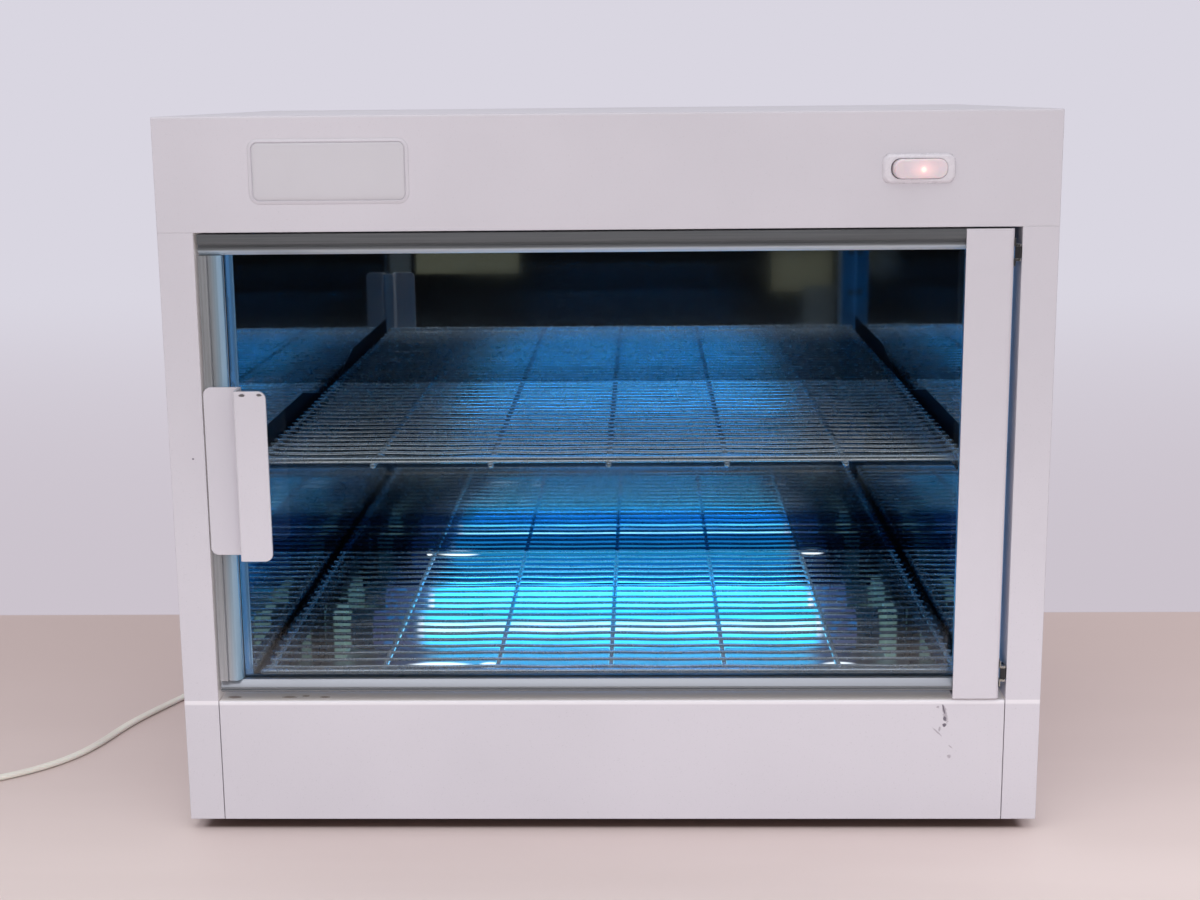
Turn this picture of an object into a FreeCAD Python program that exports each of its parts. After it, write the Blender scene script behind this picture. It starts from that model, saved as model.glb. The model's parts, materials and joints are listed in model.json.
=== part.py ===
import FreeCAD, Part
import math
import os
import re

import Sketcher
from FreeCAD import Placement, Rotation, Vector

# A countertop ultraviolet sterilizer cabinet for dishes. Millimetres, +Z up, front towards -Y.
# The origin is on the floor, under the middle of the cabinet and its handle, without its cord.

doc = FreeCAD.newDocument("sterilizer_cabinet")

# ---------------------------------------------------------------- driving dimensions

SIZES = {
    # outer case
    "cab_width": 460.0,
    "cab_height": 378.0,
    "cab_depth": 310.0,
    "panel_sheet": 1.2,
    "bend_radius": 1.0,
    "post_width": 18.5,
    "header_height": 58.5,
    "lower_height": 67.6,
    "rear_flange": 12.0,
    "base_flange": 14.0,
    "panel_seam": 0.4,
    "fit_gap": 0.1,
    "running_gap": 0.3,
    "foot_height": 6.0,
    "foot_diameter": 26.0,
    "foot_top_diameter": 23.0,
    "foot_bore": 8.0,
    "foot_web": 3.0,
    "foot_inset_x": 32.0,
    "foot_inset_y": 34.0,
    "vent_length": 34.0,
    "vent_width": 3.0,
    "vent_pitch": 9.0,
    "vent_height": 18.0,
    # screws
    "screw_diameter": 3.0,
    "screw_head": 1.6,
    "screw_head_diameter": 5.6,
    "screw_length": 6.0,
    "back_screw_low": 24.0,
    "back_screw_high": 30.0,
    "rail_screw_inset": 40.0,
    "recess_length": 3.0,
    "recess_width": 0.8,
    "recess_depth": 0.9,
    # liner and lamp tray
    "liner_sheet": 0.8,
    "liner_margin": 16.0,
    "liner_setback": 18.0,
    "liner_rear_gap": 15.2,
    "liner_flange": 10.0,
    "ceiling_lip": 10.0,
    "ledge_rise": 3.4,
    "tray_margin": 12.5,
    "tray_front": 12.0,
    "tray_depth": 31.0,
    "support_inset": 33.0,
    "support_y": 95.0,
    "support_length": 50.0,
    "support_foot": 12.0,
    "bracket_x": 120.0,
    "bracket_width": 30.0,
    "bracket_height": 14.0,
    "bracket_drop": 60.0,
    # shelves and their rails
    "cross_wire": 3.2,
    "shelf_wire": 2.0,
    "rim_wire": 4.0,
    "weld_sink": 0.4,
    "shelf_margin": 2.5,
    "shelf_inset": 5.0,
    "shelf_end_gap": 4.0,
    "cross_inset": 2.5,
    "shelf_rise": 119.3,
    "rail_leg": 10.0,
    "rail_sheet": 1.0,
    # lamps
    "lamp_diameter": 25.5,
    "lamp_cap": 14.0,
    "cap_wall": 0.5,
    "cap_end": 2.0,
    "glass_wall": 0.9,
    "pin_diameter": 2.4,
    "pin_length": 7.0,
    "pin_pitch": 12.7,
    "lamp_rise": 16.5,
    "lamp_front": 168.0,
    "lamp_pitch": 57.0,
    "holder_margin": 2.5,
    "holder_reach": 4.5,
    "holder_thick": 11.0,
    "holder_width": 22.0,
    "holder_height": 30.0,
    "holder_boss": 21.0,
    "holder_slot": 3.2,
    # door
    "door_gap": 1.6,
    "door_gap_low": 3.9,
    "door_gap_high": 2.1,
    "hinge_gap": 3.8,
    "frame_setback": 0.4,
    "frame_depth": 14.0,
    "top_rail_height": 9.6,
    "bottom_rail_height": 6.0,
    "stile_width": 11.5,
    "hinge_stile_width": 21.5,
    "step_width": 4.5,
    "step_depth": 0.8,
    "glass_thick": 3.0,
    "glass_setback": 7.5,
    "glass_grip": 4.0,
    "gasket_wall": 0.6,
    # hinge side
    "strip_width": 24.6,
    "strip_proud": 1.0,
    "strip_depth": 13.0,
    "strip_drop": 2.8,
    "strip_corner": 2.4,
    "hinge_inset": 0.6,
    "hinge_margin": 11.0,
    "knuckle_diameter": 3.0,
    "knuckle_height": 5.6,
    "hinge_pin": 1.6,
    "pin_fit": 0.06,
    "ear_thick": 1.2,
    "ear_leaf": 0.6,
    "ear_height": 4.0,
    "leaf_sheet": 0.8,
    "leaf_depth": 10.0,
    "strip_screw_inset": 15.7,
    "strip_screw_first": 28.5,
    "strip_screw_pitch": 33.5,
    "strip_skin": 0.4,
    # handle
    "handle_height": 90.0,
    "handle_plate": 20.0,
    "handle_lip": 15.5,
    "handle_reach": 15.0,
    "handle_sheet": 1.4,
    "handle_corner": 4.0,
    "handle_bend": 1.3,
    "backing_sheet": 1.0,
    "handle_screw_pitch": 60.0,
    "handle_screw_inset": 3.5,
    # catch and stops
    "magnet_width": 9.0,
    "catch_margin": 5.0,
    "striker_thick": 0.5,
    "stop_diameter": 8.0,
    "stop_margin": 24.0,
    # nameplate and switch
    "plate_width": 78.7,
    "plate_height": 29.8,
    "plate_thick": 1.6,
    "plate_left": 50.0,
    "plate_drop": 13.0,
    "plate_corner": 3.0,
    "plate_bevel": 0.9,
    "switch_inset": 71.8,
    "switch_drop": 29.0,
    "bezel_width": 38.4,
    "bezel_height": 15.8,
    "bezel_thick": 2.0,
    "switch_width": 33.0,
    "switch_height": 13.6,
    "switch_depth": 20.0,
    "bezel_corner": 6.0,
    "bezel_bevel": 0.8,
    "well_width": 29.8,
    "well_height": 11.8,
    "well_depth": 6.5,
    "tab_length": 8.0,
    "tab_width": 4.8,
    "tab_thick": 0.8,
    "tab_pitch": 9.0,
    "rocker_width": 27.6,
    "rocker_height": 11.0,
    "rocker_wall": 1.0,
    "rocker_crown": 5.8,
    "rocker_valley": 4.2,
    "rocker_skirt": 3.0,
    "rocker_tilt": 8.0,
    "pivot_depth": 1.0,
    "pivot_diameter": 2.0,
    "neon_diameter": 3.0,
    "neon_length": 9.0,
    # electrics in the base
    "ballast_length": 86.0,
    "ballast_width": 38.0,
    "ballast_height": 28.0,
    "ballast_tab": 9.0,
    "ballast_pitch": 125.0,
    "ballast_y": 190.0,
    "starter_diameter": 21.0,
    "starter_length": 34.0,
    "starter_pitch": 60.0,
    "starter_y": 70.0,
    "socket_width": 26.0,
    "socket_length": 14.0,
    "socket_height": 24.0,
    "socket_axis": 12.5,
    "terminal_width": 44.0,
    "terminal_depth": 18.0,
    "terminal_height": 22.0,
    "terminal_inset": 44.0,
    "terminal_y": 250.0,
    "wire_diameter": 3.6,
    "wire_straight": 30.0,
    "wire_inset": 11.0,
    "wire_setback": 68.0,
    "wire_cross": 127.5,
    "wire_turn": 38.0,
    # mains lead
    "cord_diameter": 5.0,
    "relief_inset": 34.0,
    "relief_rise": 16.0,
    "relief_length": 24.0,
    "relief_root": 10.0,
    "relief_tip": 7.0,
    "relief_flange": 14.0,
    "relief_flange_thick": 2.0,
    "coil_out": 208.6,
    "coil_forward": 321.5,
    "coil_mean": 55.0,
    "coil_section": 15.0,
    "plug_length": 27.0,
    "plug_width": 23.0,
    "plug_height": 14.0,
    "plug_corner": 3.0,
    "plug_neck": 11.0,
    "blade_length": 17.0,
    "blade_width": 6.3,
    "blade_thick": 1.5,
    "blade_pitch": 12.7,
}

# Places worked out from the driving dimensions, as formulas in the sheet's own words.
PLACES = {
    "half_width": "cab_width / 2",
    "side_inner": "half_width - panel_sheet",
    "post_x": "half_width - post_width",
    "front_y": "(handle_reach - cab_depth) / 2",
    "skin_y": "front_y + panel_sheet",
    "back_y": "front_y + cab_depth",
    "back_face": "back_y - screw_head",
    "back_inner": "back_face - panel_sheet",
    "rear_flange_y": "back_inner - panel_sheet",
    "bottom_z": "foot_height",
    "top_z": "bottom_z + cab_height",
    "header_z": "top_z - header_height",
    "lower_z": "bottom_z + lower_height",
    "pan_z": "bottom_z + panel_sheet",
    "pan_top": "pan_z + panel_sheet",
    "liner_x": "post_x - liner_margin",
    "liner_y": "front_y + liner_setback",
    "liner_skin_y": "liner_y + liner_sheet",
    "liner_back": "back_inner - liner_rear_gap",
    "ceiling_z": "header_z - ceiling_lip",
    "ledge_z": "lower_z + ledge_rise",
    "tray_x": "liner_x - tray_margin",
    "tray_y": "liner_y + tray_front",
    "tray_z": "ledge_z - tray_depth",
    "support_x": "tray_x - support_inset",
    "shelf_x": "liner_x - shelf_margin",
    "shelf_y": "liner_y + shelf_inset",
    "shelf_end_y": "liner_back - shelf_end_gap",
    "lower_shelf_z": "ledge_z + running_gap",
    "upper_shelf_z": "lower_shelf_z + shelf_rise",
    "rail_z": "upper_shelf_z - running_gap",
    "lamp_z": "tray_z + lamp_rise",
    "holder_x": "tray_x - holder_margin - holder_thick",
    "lamp_end": "holder_x - holder_reach",
    "lamp_glass": "lamp_diameter - 2 * (cap_wall + pin_fit)",
    "pin_circle": "pin_pitch + pin_diameter + 2 * running_gap",
    "boss_x": "lamp_end + running_gap",
    "door_left": "door_gap - post_x",
    "door_right": "post_x - hinge_gap",
    "door_low": "lower_z + door_gap_low",
    "door_high": "header_z - door_gap_high",
    "frame_y": "front_y + frame_setback",
    "frame_back": "frame_y + frame_depth",
    "frame_right": "door_right - panel_sheet - fit_gap",
    "glass_y": "frame_y + glass_setback",
    "glass_back": "glass_y + glass_thick",
    "light_left": "door_left + stile_width",
    "light_right": "frame_right - hinge_stile_width",
    "light_low": "door_low + bottom_rail_height",
    "light_high": "door_high - top_rail_height",
    "strip_left": "door_right - strip_width",
    "strip_y": "front_y - strip_proud",
    "strip_back": "strip_y + strip_depth",
    "strip_low": "door_low - strip_drop",
    "strip_high": "door_high + panel_sheet",
    "hinge_x": "post_x - hinge_gap / 2",
    "hinge_y": "front_y + hinge_inset",
    "hinge_low_z": "door_low + hinge_margin",
    "hinge_high_z": "door_high - hinge_margin",
    "handle_left": "door_left - panel_sheet / 2",
    "handle_bend_x": "handle_left + handle_plate",
    "door_middle": "(door_low + door_high) / 2",
    "handle_low": "door_middle - handle_height / 2",
    "handle_high": "handle_low + handle_height",
    "handle_tip_y": "front_y - handle_reach",
    "catch_low": "handle_high + catch_margin",
    "catch_high": "door_high - stop_margin - stop_diameter / 2 - catch_margin",
    "switch_x": "half_width - switch_inset",
    "switch_z": "top_z - switch_drop",
    "pivot_y": "front_y + pivot_depth",
    "plate_x": "plate_left - half_width",
    "plate_z": "top_z - plate_drop - plate_height",
    "terminal_x": "half_width - terminal_inset",
    "wire_x": "side_inner - wire_inset",
    "wire_y": "front_y + wire_setback",
    "wire_cross_y": "front_y + wire_cross",
    "wire_z": "pan_top + wire_diameter",
    "relief_x": "relief_inset - half_width",
    "relief_y": "back_face + relief_length",
    "relief_z": "bottom_z + relief_rise",
    "coil_x": "relief_x - coil_out",
    "coil_y": "relief_y - coil_forward",
}


def make_sheet(name, cells):
    """Writes one row for each value, the alias beside it."""
    sheet = doc.addObject("Spreadsheet::Sheet", name)
    for row, (alias, value) in enumerate(cells.items(), start=1):
        sheet.set(f"A{row}", alias)
        sheet.set(f"B{row}", value)
        sheet.setAlias(f"B{row}", alias)
    return sheet


def formula(text):
    """Points each word of a formula at its cell."""

    def cell(word):
        alias = word.group(0)
        return f"Places.{alias}" if alias in PLACES else f"Sizes.{alias}"

    return re.sub(r"[a-z][a-z0-9_]*", cell, text)


make_sheet("Sizes", {alias: str(value) for alias, value in SIZES.items()})
doc.recompute()
derived = {alias: "=" + formula(text).replace("Places.", "") for alias, text in PLACES.items()}
places = make_sheet("Places", derived)
doc.recompute()


def number(text):
    """The value that a formula has now."""
    return float(places.evalExpression(formula(text)))


def bind(thing, path, text):
    thing.setExpression(path, formula(text))


# ---------------------------------------------------------------- building helpers

nodes = []
pockets = []


def node(label, thing):
    """Names a finished sub-part; its file takes the same name."""
    thing.Label = label
    nodes.append(thing)
    return thing


def box(name, x, y, z):
    """A block between two formulas on each axis."""
    block = doc.addObject("Part::Box", name)
    for side, length, (low, high) in (("x", "Length", x), ("y", "Width", y), ("z", "Height", z)):
        bind(block, f"Placement.Base.{side}", low)
        bind(block, length, f"({high}) - ({low})")
    return block


TURNS = {"x": Rotation(Vector(0, 1, 0), 90), "y": Rotation(Vector(1, 0, 0), -90), "z": Rotation()}


def rod(name, axis, centre, span, diameter, tip=None):
    """A round bar along an axis; centre gives the other two axes in order. With a tip it tapers."""
    bar = doc.addObject("Part::Cone" if tip else "Part::Cylinder", name)
    bar.Placement = Placement(Vector(), TURNS[axis])
    start = dict(zip([side for side in "xyz" if side != axis], centre))
    start[axis] = span[0]
    for side, text in start.items():
        bind(bar, f"Placement.Base.{side}", text)
    bind(bar, "Height", f"({span[1]}) - ({span[0]})")
    if tip:
        bind(bar, "Radius1", f"({diameter}) / 2")
        bind(bar, "Radius2", f"({tip}) / 2")
    else:
        bind(bar, "Radius", f"({diameter}) / 2")
    return bar


def fuse(name, *shapes):
    joined = doc.addObject("Part::MultiFuse", name)
    joined.Shapes = list(shapes)
    joined.Refine = True
    return joined


def group(name, shapes):
    """Like pieces that stay separate solids."""
    several = doc.addObject("Part::Compound", name)
    several.Links = list(shapes)
    return several


def cut(name, base, *tools):
    left = doc.addObject("Part::Cut", name)
    left.Base = base
    left.Tool = tools[0] if len(tools) == 1 else group(name + "_tools", tools)
    return left


def around(middle, width):
    """The span of a width about a middle."""
    return f"({middle}) - ({width}) / 2", f"({middle}) + ({width}) / 2"


def from_face(face, out, distance):
    """The span that leaves a face by a distance, towards plus or minus."""
    if out > 0:
        return face, f"({face}) + ({distance})"
    return f"({face}) - ({distance})", face


def across(side, low, high):
    """The same span on the right (+1) or mirrored to the left (-1)."""
    if side > 0:
        return low, high
    return f"-({high})", f"-({low})"


SIDES = (("left", -1), ("right", 1))

# A sketch plane for each axis: its role and the sign of its normal along that axis.
PLANES = {"x": ("YZ_Plane", 1), "y": ("XZ_Plane", -1), "z": ("XY_Plane", 1)}


def body(label):
    return doc.addObject("PartDesign::Body", label)


def sketch_on(part, axis, height):
    """A sketch across an axis, at a formula's height on it."""
    role, sign = PLANES[axis]
    sketch = part.newObject("Sketcher::SketchObject", part.Label + "_sketch")
    plane = next(feature for feature in part.Origin.OriginFeatures if feature.Role == role)
    sketch.AttachmentSupport = [(plane, "")]
    sketch.MapMode = "FlatFace"
    bind(sketch, "AttachmentOffset.Base.z", f"{sign} * ({height})")
    return sketch


def draw(sketch, corners):
    """Closes straight lines through corners, each one dimensioned from the origin."""
    spots = [Vector(number(u), number(v), 0) for u, v in corners]
    followers = spots[1:] + spots[:1]
    lines = [sketch.addGeometry(Part.LineSegment(*ends)) for ends in zip(spots, followers)]
    for line, follower, (u, v) in zip(lines, lines[1:] + lines[:1], corners):
        sketch.addConstraint(Sketcher.Constraint("Coincident", line, 2, follower, 1))
        for kind, text in (("DistanceX", u), ("DistanceY", v)):
            row = sketch.addConstraint(Sketcher.Constraint(kind, -1, 1, line, 1, number(text)))
            bind(sketch, f"Constraints[{row}]", text)


def oblong(u, v):
    """The four corners of a rectangle between two spans."""
    return [(u[0], v[0]), (u[1], v[0]), (u[1], v[1]), (u[0], v[1])]


def circle(sketch, u, v, diameter):
    centre = Vector(number(u), number(v), 0)
    ring = sketch.addGeometry(Part.Circle(centre, Vector(0, 0, 1), number(diameter) / 2))
    for kind, text in (("DistanceX", u), ("DistanceY", v)):
        row = sketch.addConstraint(Sketcher.Constraint(kind, -1, 1, ring, 3, number(text)))
        bind(sketch, f"Constraints[{row}]", text)
    row = sketch.addConstraint(Sketcher.Constraint("Diameter", ring, number(diameter)))
    bind(sketch, f"Constraints[{row}]", diameter)


def pad(part, axis, span, corners=None, rings=()):
    """Adds the prism of an outline, or of round sections, between two heights."""
    low, high = span
    sketch = sketch_on(part, axis, high if axis == "y" else low)
    if corners:
        draw(sketch, corners)
    for u, v, diameter in rings:
        circle(sketch, u, v, diameter)
    added = part.newObject("PartDesign::Pad", part.Label + "_pad")
    added.Profile = sketch
    bind(added, "Length", f"({high}) - ({low})")
    return added


def pocket(part, axis, span, *outlines, rings=()):
    """Cuts the prisms of outlines and of round holes between two heights."""
    low, high = span
    sketch = sketch_on(part, axis, low if axis == "y" else high)
    for corners in outlines:
        draw(sketch, corners)
    for u, v, diameter in rings:
        circle(sketch, u, v, diameter)
    removed = part.newObject("PartDesign::Pocket", part.Label + "_pocket")
    removed.Profile = sketch
    bind(removed, "Length", f"({high}) - ({low})")
    pockets.append(removed)
    return removed


def along(axis, near=None):
    """Picks straight edges that run along an axis, and, with near, those whose middle is there."""

    def chosen(edge):
        if edge.Curve.TypeId != "Part::GeomLine":
            return False
        direction = edge.tangentAt(edge.FirstParameter)
        if abs(getattr(direction, axis)) < 0.999:
            return False
        middle = edge.CenterOfMass
        return all(abs(getattr(middle, side) - number(text)) < 0.01 for side, text in (near or {}).items())

    return chosen


def on_plane(axis, text):
    """Picks the edges that lie in a plane across an axis."""

    def chosen(edge):
        ends = (getattr(edge.BoundBox, axis.upper() + "Min"), getattr(edge.BoundBox, axis.upper() + "Max"))
        return all(abs(end - number(text)) < 0.01 for end in ends)

    return chosen


def dress(part, kind, size, text, chosen):
    """Fillets or chamfers the edges that a picker chooses."""
    doc.recompute()
    base = part.Tip
    picked = [f"Edge{index}" for index, edge in enumerate(base.Shape.Edges, start=1) if chosen(edge)]
    feature = part.newObject(f"PartDesign::{kind}", f"{part.Label}_{kind.lower()}")
    feature.Base = (base, picked)
    bind(feature, size, text)
    return feature


def screw(name, axis, centre, face, out, length="screw_length"):
    """A cross-head screw; its head sits on a face and looks out along plus or minus the axis."""
    head = rod(name + "_head", axis, centre, from_face(face, out, "screw_head"), "screw_head_diameter")
    shank = rod(name + "_shank", axis, centre, from_face(face, -out, length), "screw_diameter")
    crown = f"({face}) + {out} * screw_head"
    middles = dict(zip([side for side in "xyz" if side != axis], centre))
    spans = {side: around(middle, "recess_width") for side, middle in middles.items()}
    spans[axis] = from_face(crown, -out, "recess_depth")
    slots = []
    for side, middle in middles.items():
        slot = dict(spans, **{side: around(middle, "recess_length")})
        slots.append(box(f"{name}_slot_{side}", slot["x"], slot["y"], slot["z"]))
    return cut(name, fuse(name + "_blank", head, shank), fuse(name + "_cross", *slots))


def holes(name, axis, centres, span):
    """Clearance holes for screws, as one cutting tool."""
    drills = [rod(f"{name}_{index}", axis, centre, span, "screw_diameter + 2 * fit_gap")
              for index, centre in enumerate(centres)]
    return drills[0] if len(drills) == 1 else group(name, drills)


# ---------------------------------------------------------------- outer case

WIDE = ("-half_width", "half_width")
BACK_SCREWS = [(f"{sign} * (side_inner - rear_flange / 2)", height)
               for _, sign in SIDES
               for height in ("bottom_z + back_screw_low", "(bottom_z + top_z) / 2",
                              "top_z - back_screw_high")]
BACK_SCREWS += [(f"{sign} * bracket_x", "top_z - panel_sheet - rear_flange / 2") for _, sign in SIDES]
FEET = [(f"{sign} * (half_width - foot_inset_x)", y)
        for _, sign in SIDES
        for y in ("front_y + foot_inset_y", "back_y - foot_inset_y")]
FRONT_TO_BACK = ("front_y", "back_inner")
REAR_FLANGE = ("rear_flange_y", "back_inner")

for side, sign in SIDES:
    # A bent sheet: wall, front post with its return to the liner, rear flange and base flange.
    name = f"{side}_side_panel"
    wall = across(sign, "side_inner", "half_width")
    low_wall = box(name + "_wall", wall, FRONT_TO_BACK, ("bottom_z", "header_z"))
    high_wall = box(name + "_top", wall, ("skin_y", "back_inner"), ("header_z", "top_z - panel_sheet"))
    post = box(name + "_post", across(sign, "post_x", "half_width"), ("front_y", "skin_y"),
               ("bottom_z", "header_z"))
    back_fold = box(name + "_return", across(sign, "post_x", "post_x + panel_sheet"),
                    ("front_y", "liner_y"), ("pan_top + fit_gap", "header_z"))
    rear = box(name + "_rear", across(sign, "side_inner - rear_flange", "half_width"), REAR_FLANGE,
               ("bottom_z", "top_z - panel_sheet"))
    base = box(name + "_base", across(sign, "side_inner - base_flange", "half_width"), FRONT_TO_BACK,
               ("bottom_z", "pan_z"))
    sheet = fuse(name + "_sheet", low_wall, high_wall, post, back_fold, rear, base)
    mine = [spot for spot in BACK_SCREWS if spot[0].startswith(f"{sign} * (side_inner")]
    node(name, cut(name, sheet, holes(name + "_holes", "y", mine, REAR_FLANGE)))

# The header face and the top are one bent sheet, with a return along the door and a rear flange.
top = body("top_cover")
pad(top, "y", ("front_y", "skin_y"), oblong(WIDE, ("header_z", "top_z")))
pad(top, "z", ("top_z - panel_sheet", "top_z"), oblong(WIDE, FRONT_TO_BACK))
pad(top, "z", ("header_z", "header_z + panel_sheet"), oblong(("-post_x", "post_x"), ("front_y", "liner_y")))
rear_end = "side_inner - rear_flange - running_gap"
pad(top, "y", REAR_FLANGE,
    oblong((f"-({rear_end})", rear_end), ("top_z - panel_sheet - rear_flange", "top_z")))
switch_hole = oblong(around("switch_x", "switch_width + 2 * fit_gap"),
                     around("switch_z", "switch_height + 2 * fit_gap"))
pocket(top, "y", ("front_y", "skin_y"), switch_hole)
pocket(top, "y", REAR_FLANGE, rings=[(x, z, "screw_diameter + 2 * fit_gap") for x, z in BACK_SCREWS[-2:]])
dress(top, "Fillet", "Radius", "bend_radius", along("x", {"y": "front_y", "z": "top_z"}))
node("top_cover", top)

# The service panel under the door: a channel between the posts, with a deep rolled top edge.
lower = body("lower_panel")
channel = [("front_y", "bottom_z"), ("front_y + base_flange", "bottom_z"), ("front_y + base_flange", "pan_z"),
           ("skin_y", "pan_z"), ("skin_y", "lower_z - panel_sheet"), ("liner_y", "lower_z - panel_sheet"),
           ("liner_y", "lower_z"), ("front_y", "lower_z")]
pad(lower, "x", ("panel_seam - post_x", "post_x - panel_seam"), channel)
dress(lower, "Fillet", "Radius", "bend_radius", along("x", {"y": "front_y", "z": "lower_z"}))
node("lower_panel", lower)

pan_side = "side_inner - fit_gap"
pan_deep = ("skin_y + fit_gap", "rear_flange_y - fit_gap")
pan = box("pan_floor", (f"-({pan_side})", pan_side), pan_deep, ("pan_z", "pan_top"))
upstands = [box(f"pan_{side}", across(sign, f"{pan_side} - panel_sheet", pan_side), pan_deep,
                ("pan_z", "pan_z + rear_flange")) for side, sign in SIDES]
foot_holes = holes("pan_holes", "z", FEET, ("pan_z", "pan_top"))
node("base_pan", cut("base_pan", fuse("pan_sheet", pan, *upstands), foot_holes))

back = body("back_panel")
pad(back, "y", ("back_inner", "back_face"),
    oblong(("panel_sheet - half_width", "half_width - panel_sheet"), ("pan_z", "top_z - panel_sheet")))
VENTS = 12
vent_z = around("bottom_z + vent_height + vent_length / 2", "vent_length")
vents = [oblong(around(f"({index} - {(VENTS - 1) / 2}) * vent_pitch", "vent_width"), vent_z)
         for index in range(VENTS)]
pocket(back, "y", ("back_inner", "back_face"), *vents)
back_rings = [(x, z, "screw_diameter + 2 * fit_gap") for x, z in BACK_SCREWS]
back_rings.append(("relief_x", "relief_z", "relief_root + 2 * fit_gap"))
pocket(back, "y", ("back_inner", "back_face"), rings=back_rings)
node("back_panel", back)

case_screws = [screw(f"back_screw_{index}", "y", spot, "back_face", 1)
               for index, spot in enumerate(BACK_SCREWS)]

feet = []
for index, spot in enumerate(FEET):
    pad_foot = rod(f"foot_{index}", "z", spot, ("0", "pan_z"), "foot_diameter", "foot_top_diameter")
    counterbore = rod(f"foot_{index}_bore", "z", spot, ("0", "foot_web"), "foot_bore")
    through = rod(f"foot_{index}_hole", "z", spot, ("0", "pan_z"), "screw_diameter + 2 * fit_gap")
    feet.append(cut(f"rubber_foot_{index}", pad_foot, fuse(f"foot_{index}_drill", counterbore, through)))
node("feet", group("feet", feet))
case_screws += [screw(f"foot_screw_{index}", "z", spot, "foot_web", -1) for index, spot in enumerate(FEET)]
node("case_screws", group("case_screws", case_screws))

# ---------------------------------------------------------------- polished liner and lamp tray

RAIL_SCREWS = [(y, "rail_z - rail_leg / 2 - rail_sheet / 2")
               for y in ("shelf_y + rail_screw_inset", "shelf_end_y - rail_screw_inset")]
LINER_WIDE = ("-(liner_x + liner_sheet)", "liner_x + liner_sheet")
LINER_FRAME = ("-(post_x + panel_sheet)", "post_x + panel_sheet")
LINER_FRONT = ("liner_y", "liner_skin_y")
inner_screws = []

for side, sign in SIDES:
    wall_x = across(sign, "liner_x", "liner_x + liner_sheet")
    wall = box(f"liner_{side}_wall", wall_x, ("liner_y", "liner_back"), ("ledge_z", "ceiling_z"))
    flange = box(f"liner_{side}_flange", across(sign, "liner_x", "post_x + panel_sheet"), LINER_FRONT,
                 ("ledge_z", "ceiling_z"))
    drills = holes(f"liner_{side}_holes", "x", RAIL_SCREWS, wall_x)
    node(f"liner_{side}", cut(f"liner_{side}", fuse(f"liner_{side}_sheet", wall, flange), drills))

    # The angle rail that carries an end of the upper shelf.
    leg_x = across(sign, "liner_x - rail_sheet", "liner_x")
    leg = box(f"rail_{side}_leg", leg_x, ("shelf_y", "shelf_end_y"), ("rail_z - rail_leg", "rail_z"))
    ledge = box(f"rail_{side}_ledge", across(sign, "liner_x - rail_leg", "liner_x"),
                ("shelf_y", "shelf_end_y"), ("rail_z - rail_sheet", "rail_z"))
    drills = holes(f"rail_{side}_holes", "x", RAIL_SCREWS, leg_x)
    node(f"shelf_rail_{side}", cut(f"shelf_rail_{side}", fuse(f"rail_{side}_angle", leg, ledge), drills))
    inner_screws += [screw(f"rail_screw_{side}_{index}", "x", spot, f"{sign} * (liner_x - rail_sheet)", -sign)
                     for index, spot in enumerate(RAIL_SCREWS)]

    # The bottom ledge steps in to the lamp tray and carries the lower shelf.
    step = box(f"ledge_{side}_step", across(sign, "tray_x", "liner_x + liner_sheet"),
               ("liner_skin_y", "liner_back"), ("ledge_z - liner_sheet", "ledge_z"))
    drop = box(f"ledge_{side}_wall", across(sign, "tray_x", "tray_x + liner_sheet"),
               ("tray_y", "liner_back"), ("tray_z", "ledge_z"))
    node(f"ledge_{side}", fuse(f"ledge_{side}", step, drop))

node("liner_back", box("liner_back", LINER_WIDE, ("liner_back", "liner_back + liner_sheet"),
                       ("tray_z - liner_sheet", "ceiling_z")))
ceiling = box("ceiling_plate", LINER_WIDE, ("liner_y", "liner_back + liner_sheet"),
              ("ceiling_z", "ceiling_z + liner_sheet"))
ceiling_flange = box("ceiling_flange", LINER_FRAME, LINER_FRONT, ("ceiling_z", "header_z + liner_flange"))
node("liner_ceiling", fuse("liner_ceiling", ceiling, ceiling_flange))

sill_flange = box("sill_flange", LINER_FRAME, LINER_FRONT, ("lower_z - liner_flange", "ledge_z"))
sill_step = box("sill_step", ("-tray_x", "tray_x"), ("liner_y", "tray_y + liner_sheet"),
                ("ledge_z - liner_sheet", "ledge_z"))
sill_wall = box("sill_wall", ("-tray_x", "tray_x"), ("tray_y", "tray_y + liner_sheet"), ("tray_z", "ledge_z"))
node("front_sill", fuse("front_sill", sill_flange, sill_step, sill_wall))
node("lamp_tray", box("lamp_tray", ("-(tray_x + liner_sheet)", "tray_x + liner_sheet"),
                      ("tray_y", "liner_back"), ("tray_z - liner_sheet", "tray_z")))

supports = []
for side, sign in SIDES:
    web = box(f"support_{side}_web", across(sign, "support_x", "support_x + panel_sheet"),
              around("support_y", "support_length"), ("pan_top", "tray_z - liner_sheet"))
    tabs = [box(f"support_{side}_{end}", across(sign, "support_x", "support_x + support_foot"),
                around("support_y", "support_length"), span)
            for end, span in (("foot", ("pan_top", "pan_top + panel_sheet")),
                              ("head", ("tray_z - liner_sheet - panel_sheet", "tray_z - liner_sheet")))]
    supports.append(fuse(f"support_{side}", web, *tabs))
    bracket_x = across(sign, "bracket_x", "bracket_x + bracket_width")
    bracket_z = ("ceiling_z - bracket_drop", "ceiling_z - bracket_drop + bracket_height")
    gap_y = ("liner_back + liner_sheet", "back_inner")
    bridge = box(f"bracket_{side}_bridge", bracket_x, gap_y,
                 (bracket_z[0], f"{bracket_z[0]} + panel_sheet"))
    lips = [box(f"bracket_{side}_{end}", bracket_x, span, bracket_z)
            for end, span in (("liner", (gap_y[0], f"{gap_y[0]} + panel_sheet")),
                              ("case", (f"{gap_y[1]} - panel_sheet", gap_y[1])))]
    supports.append(fuse(f"bracket_{side}", bridge, *lips))
node("liner_supports", group("liner_supports", supports))

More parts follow.
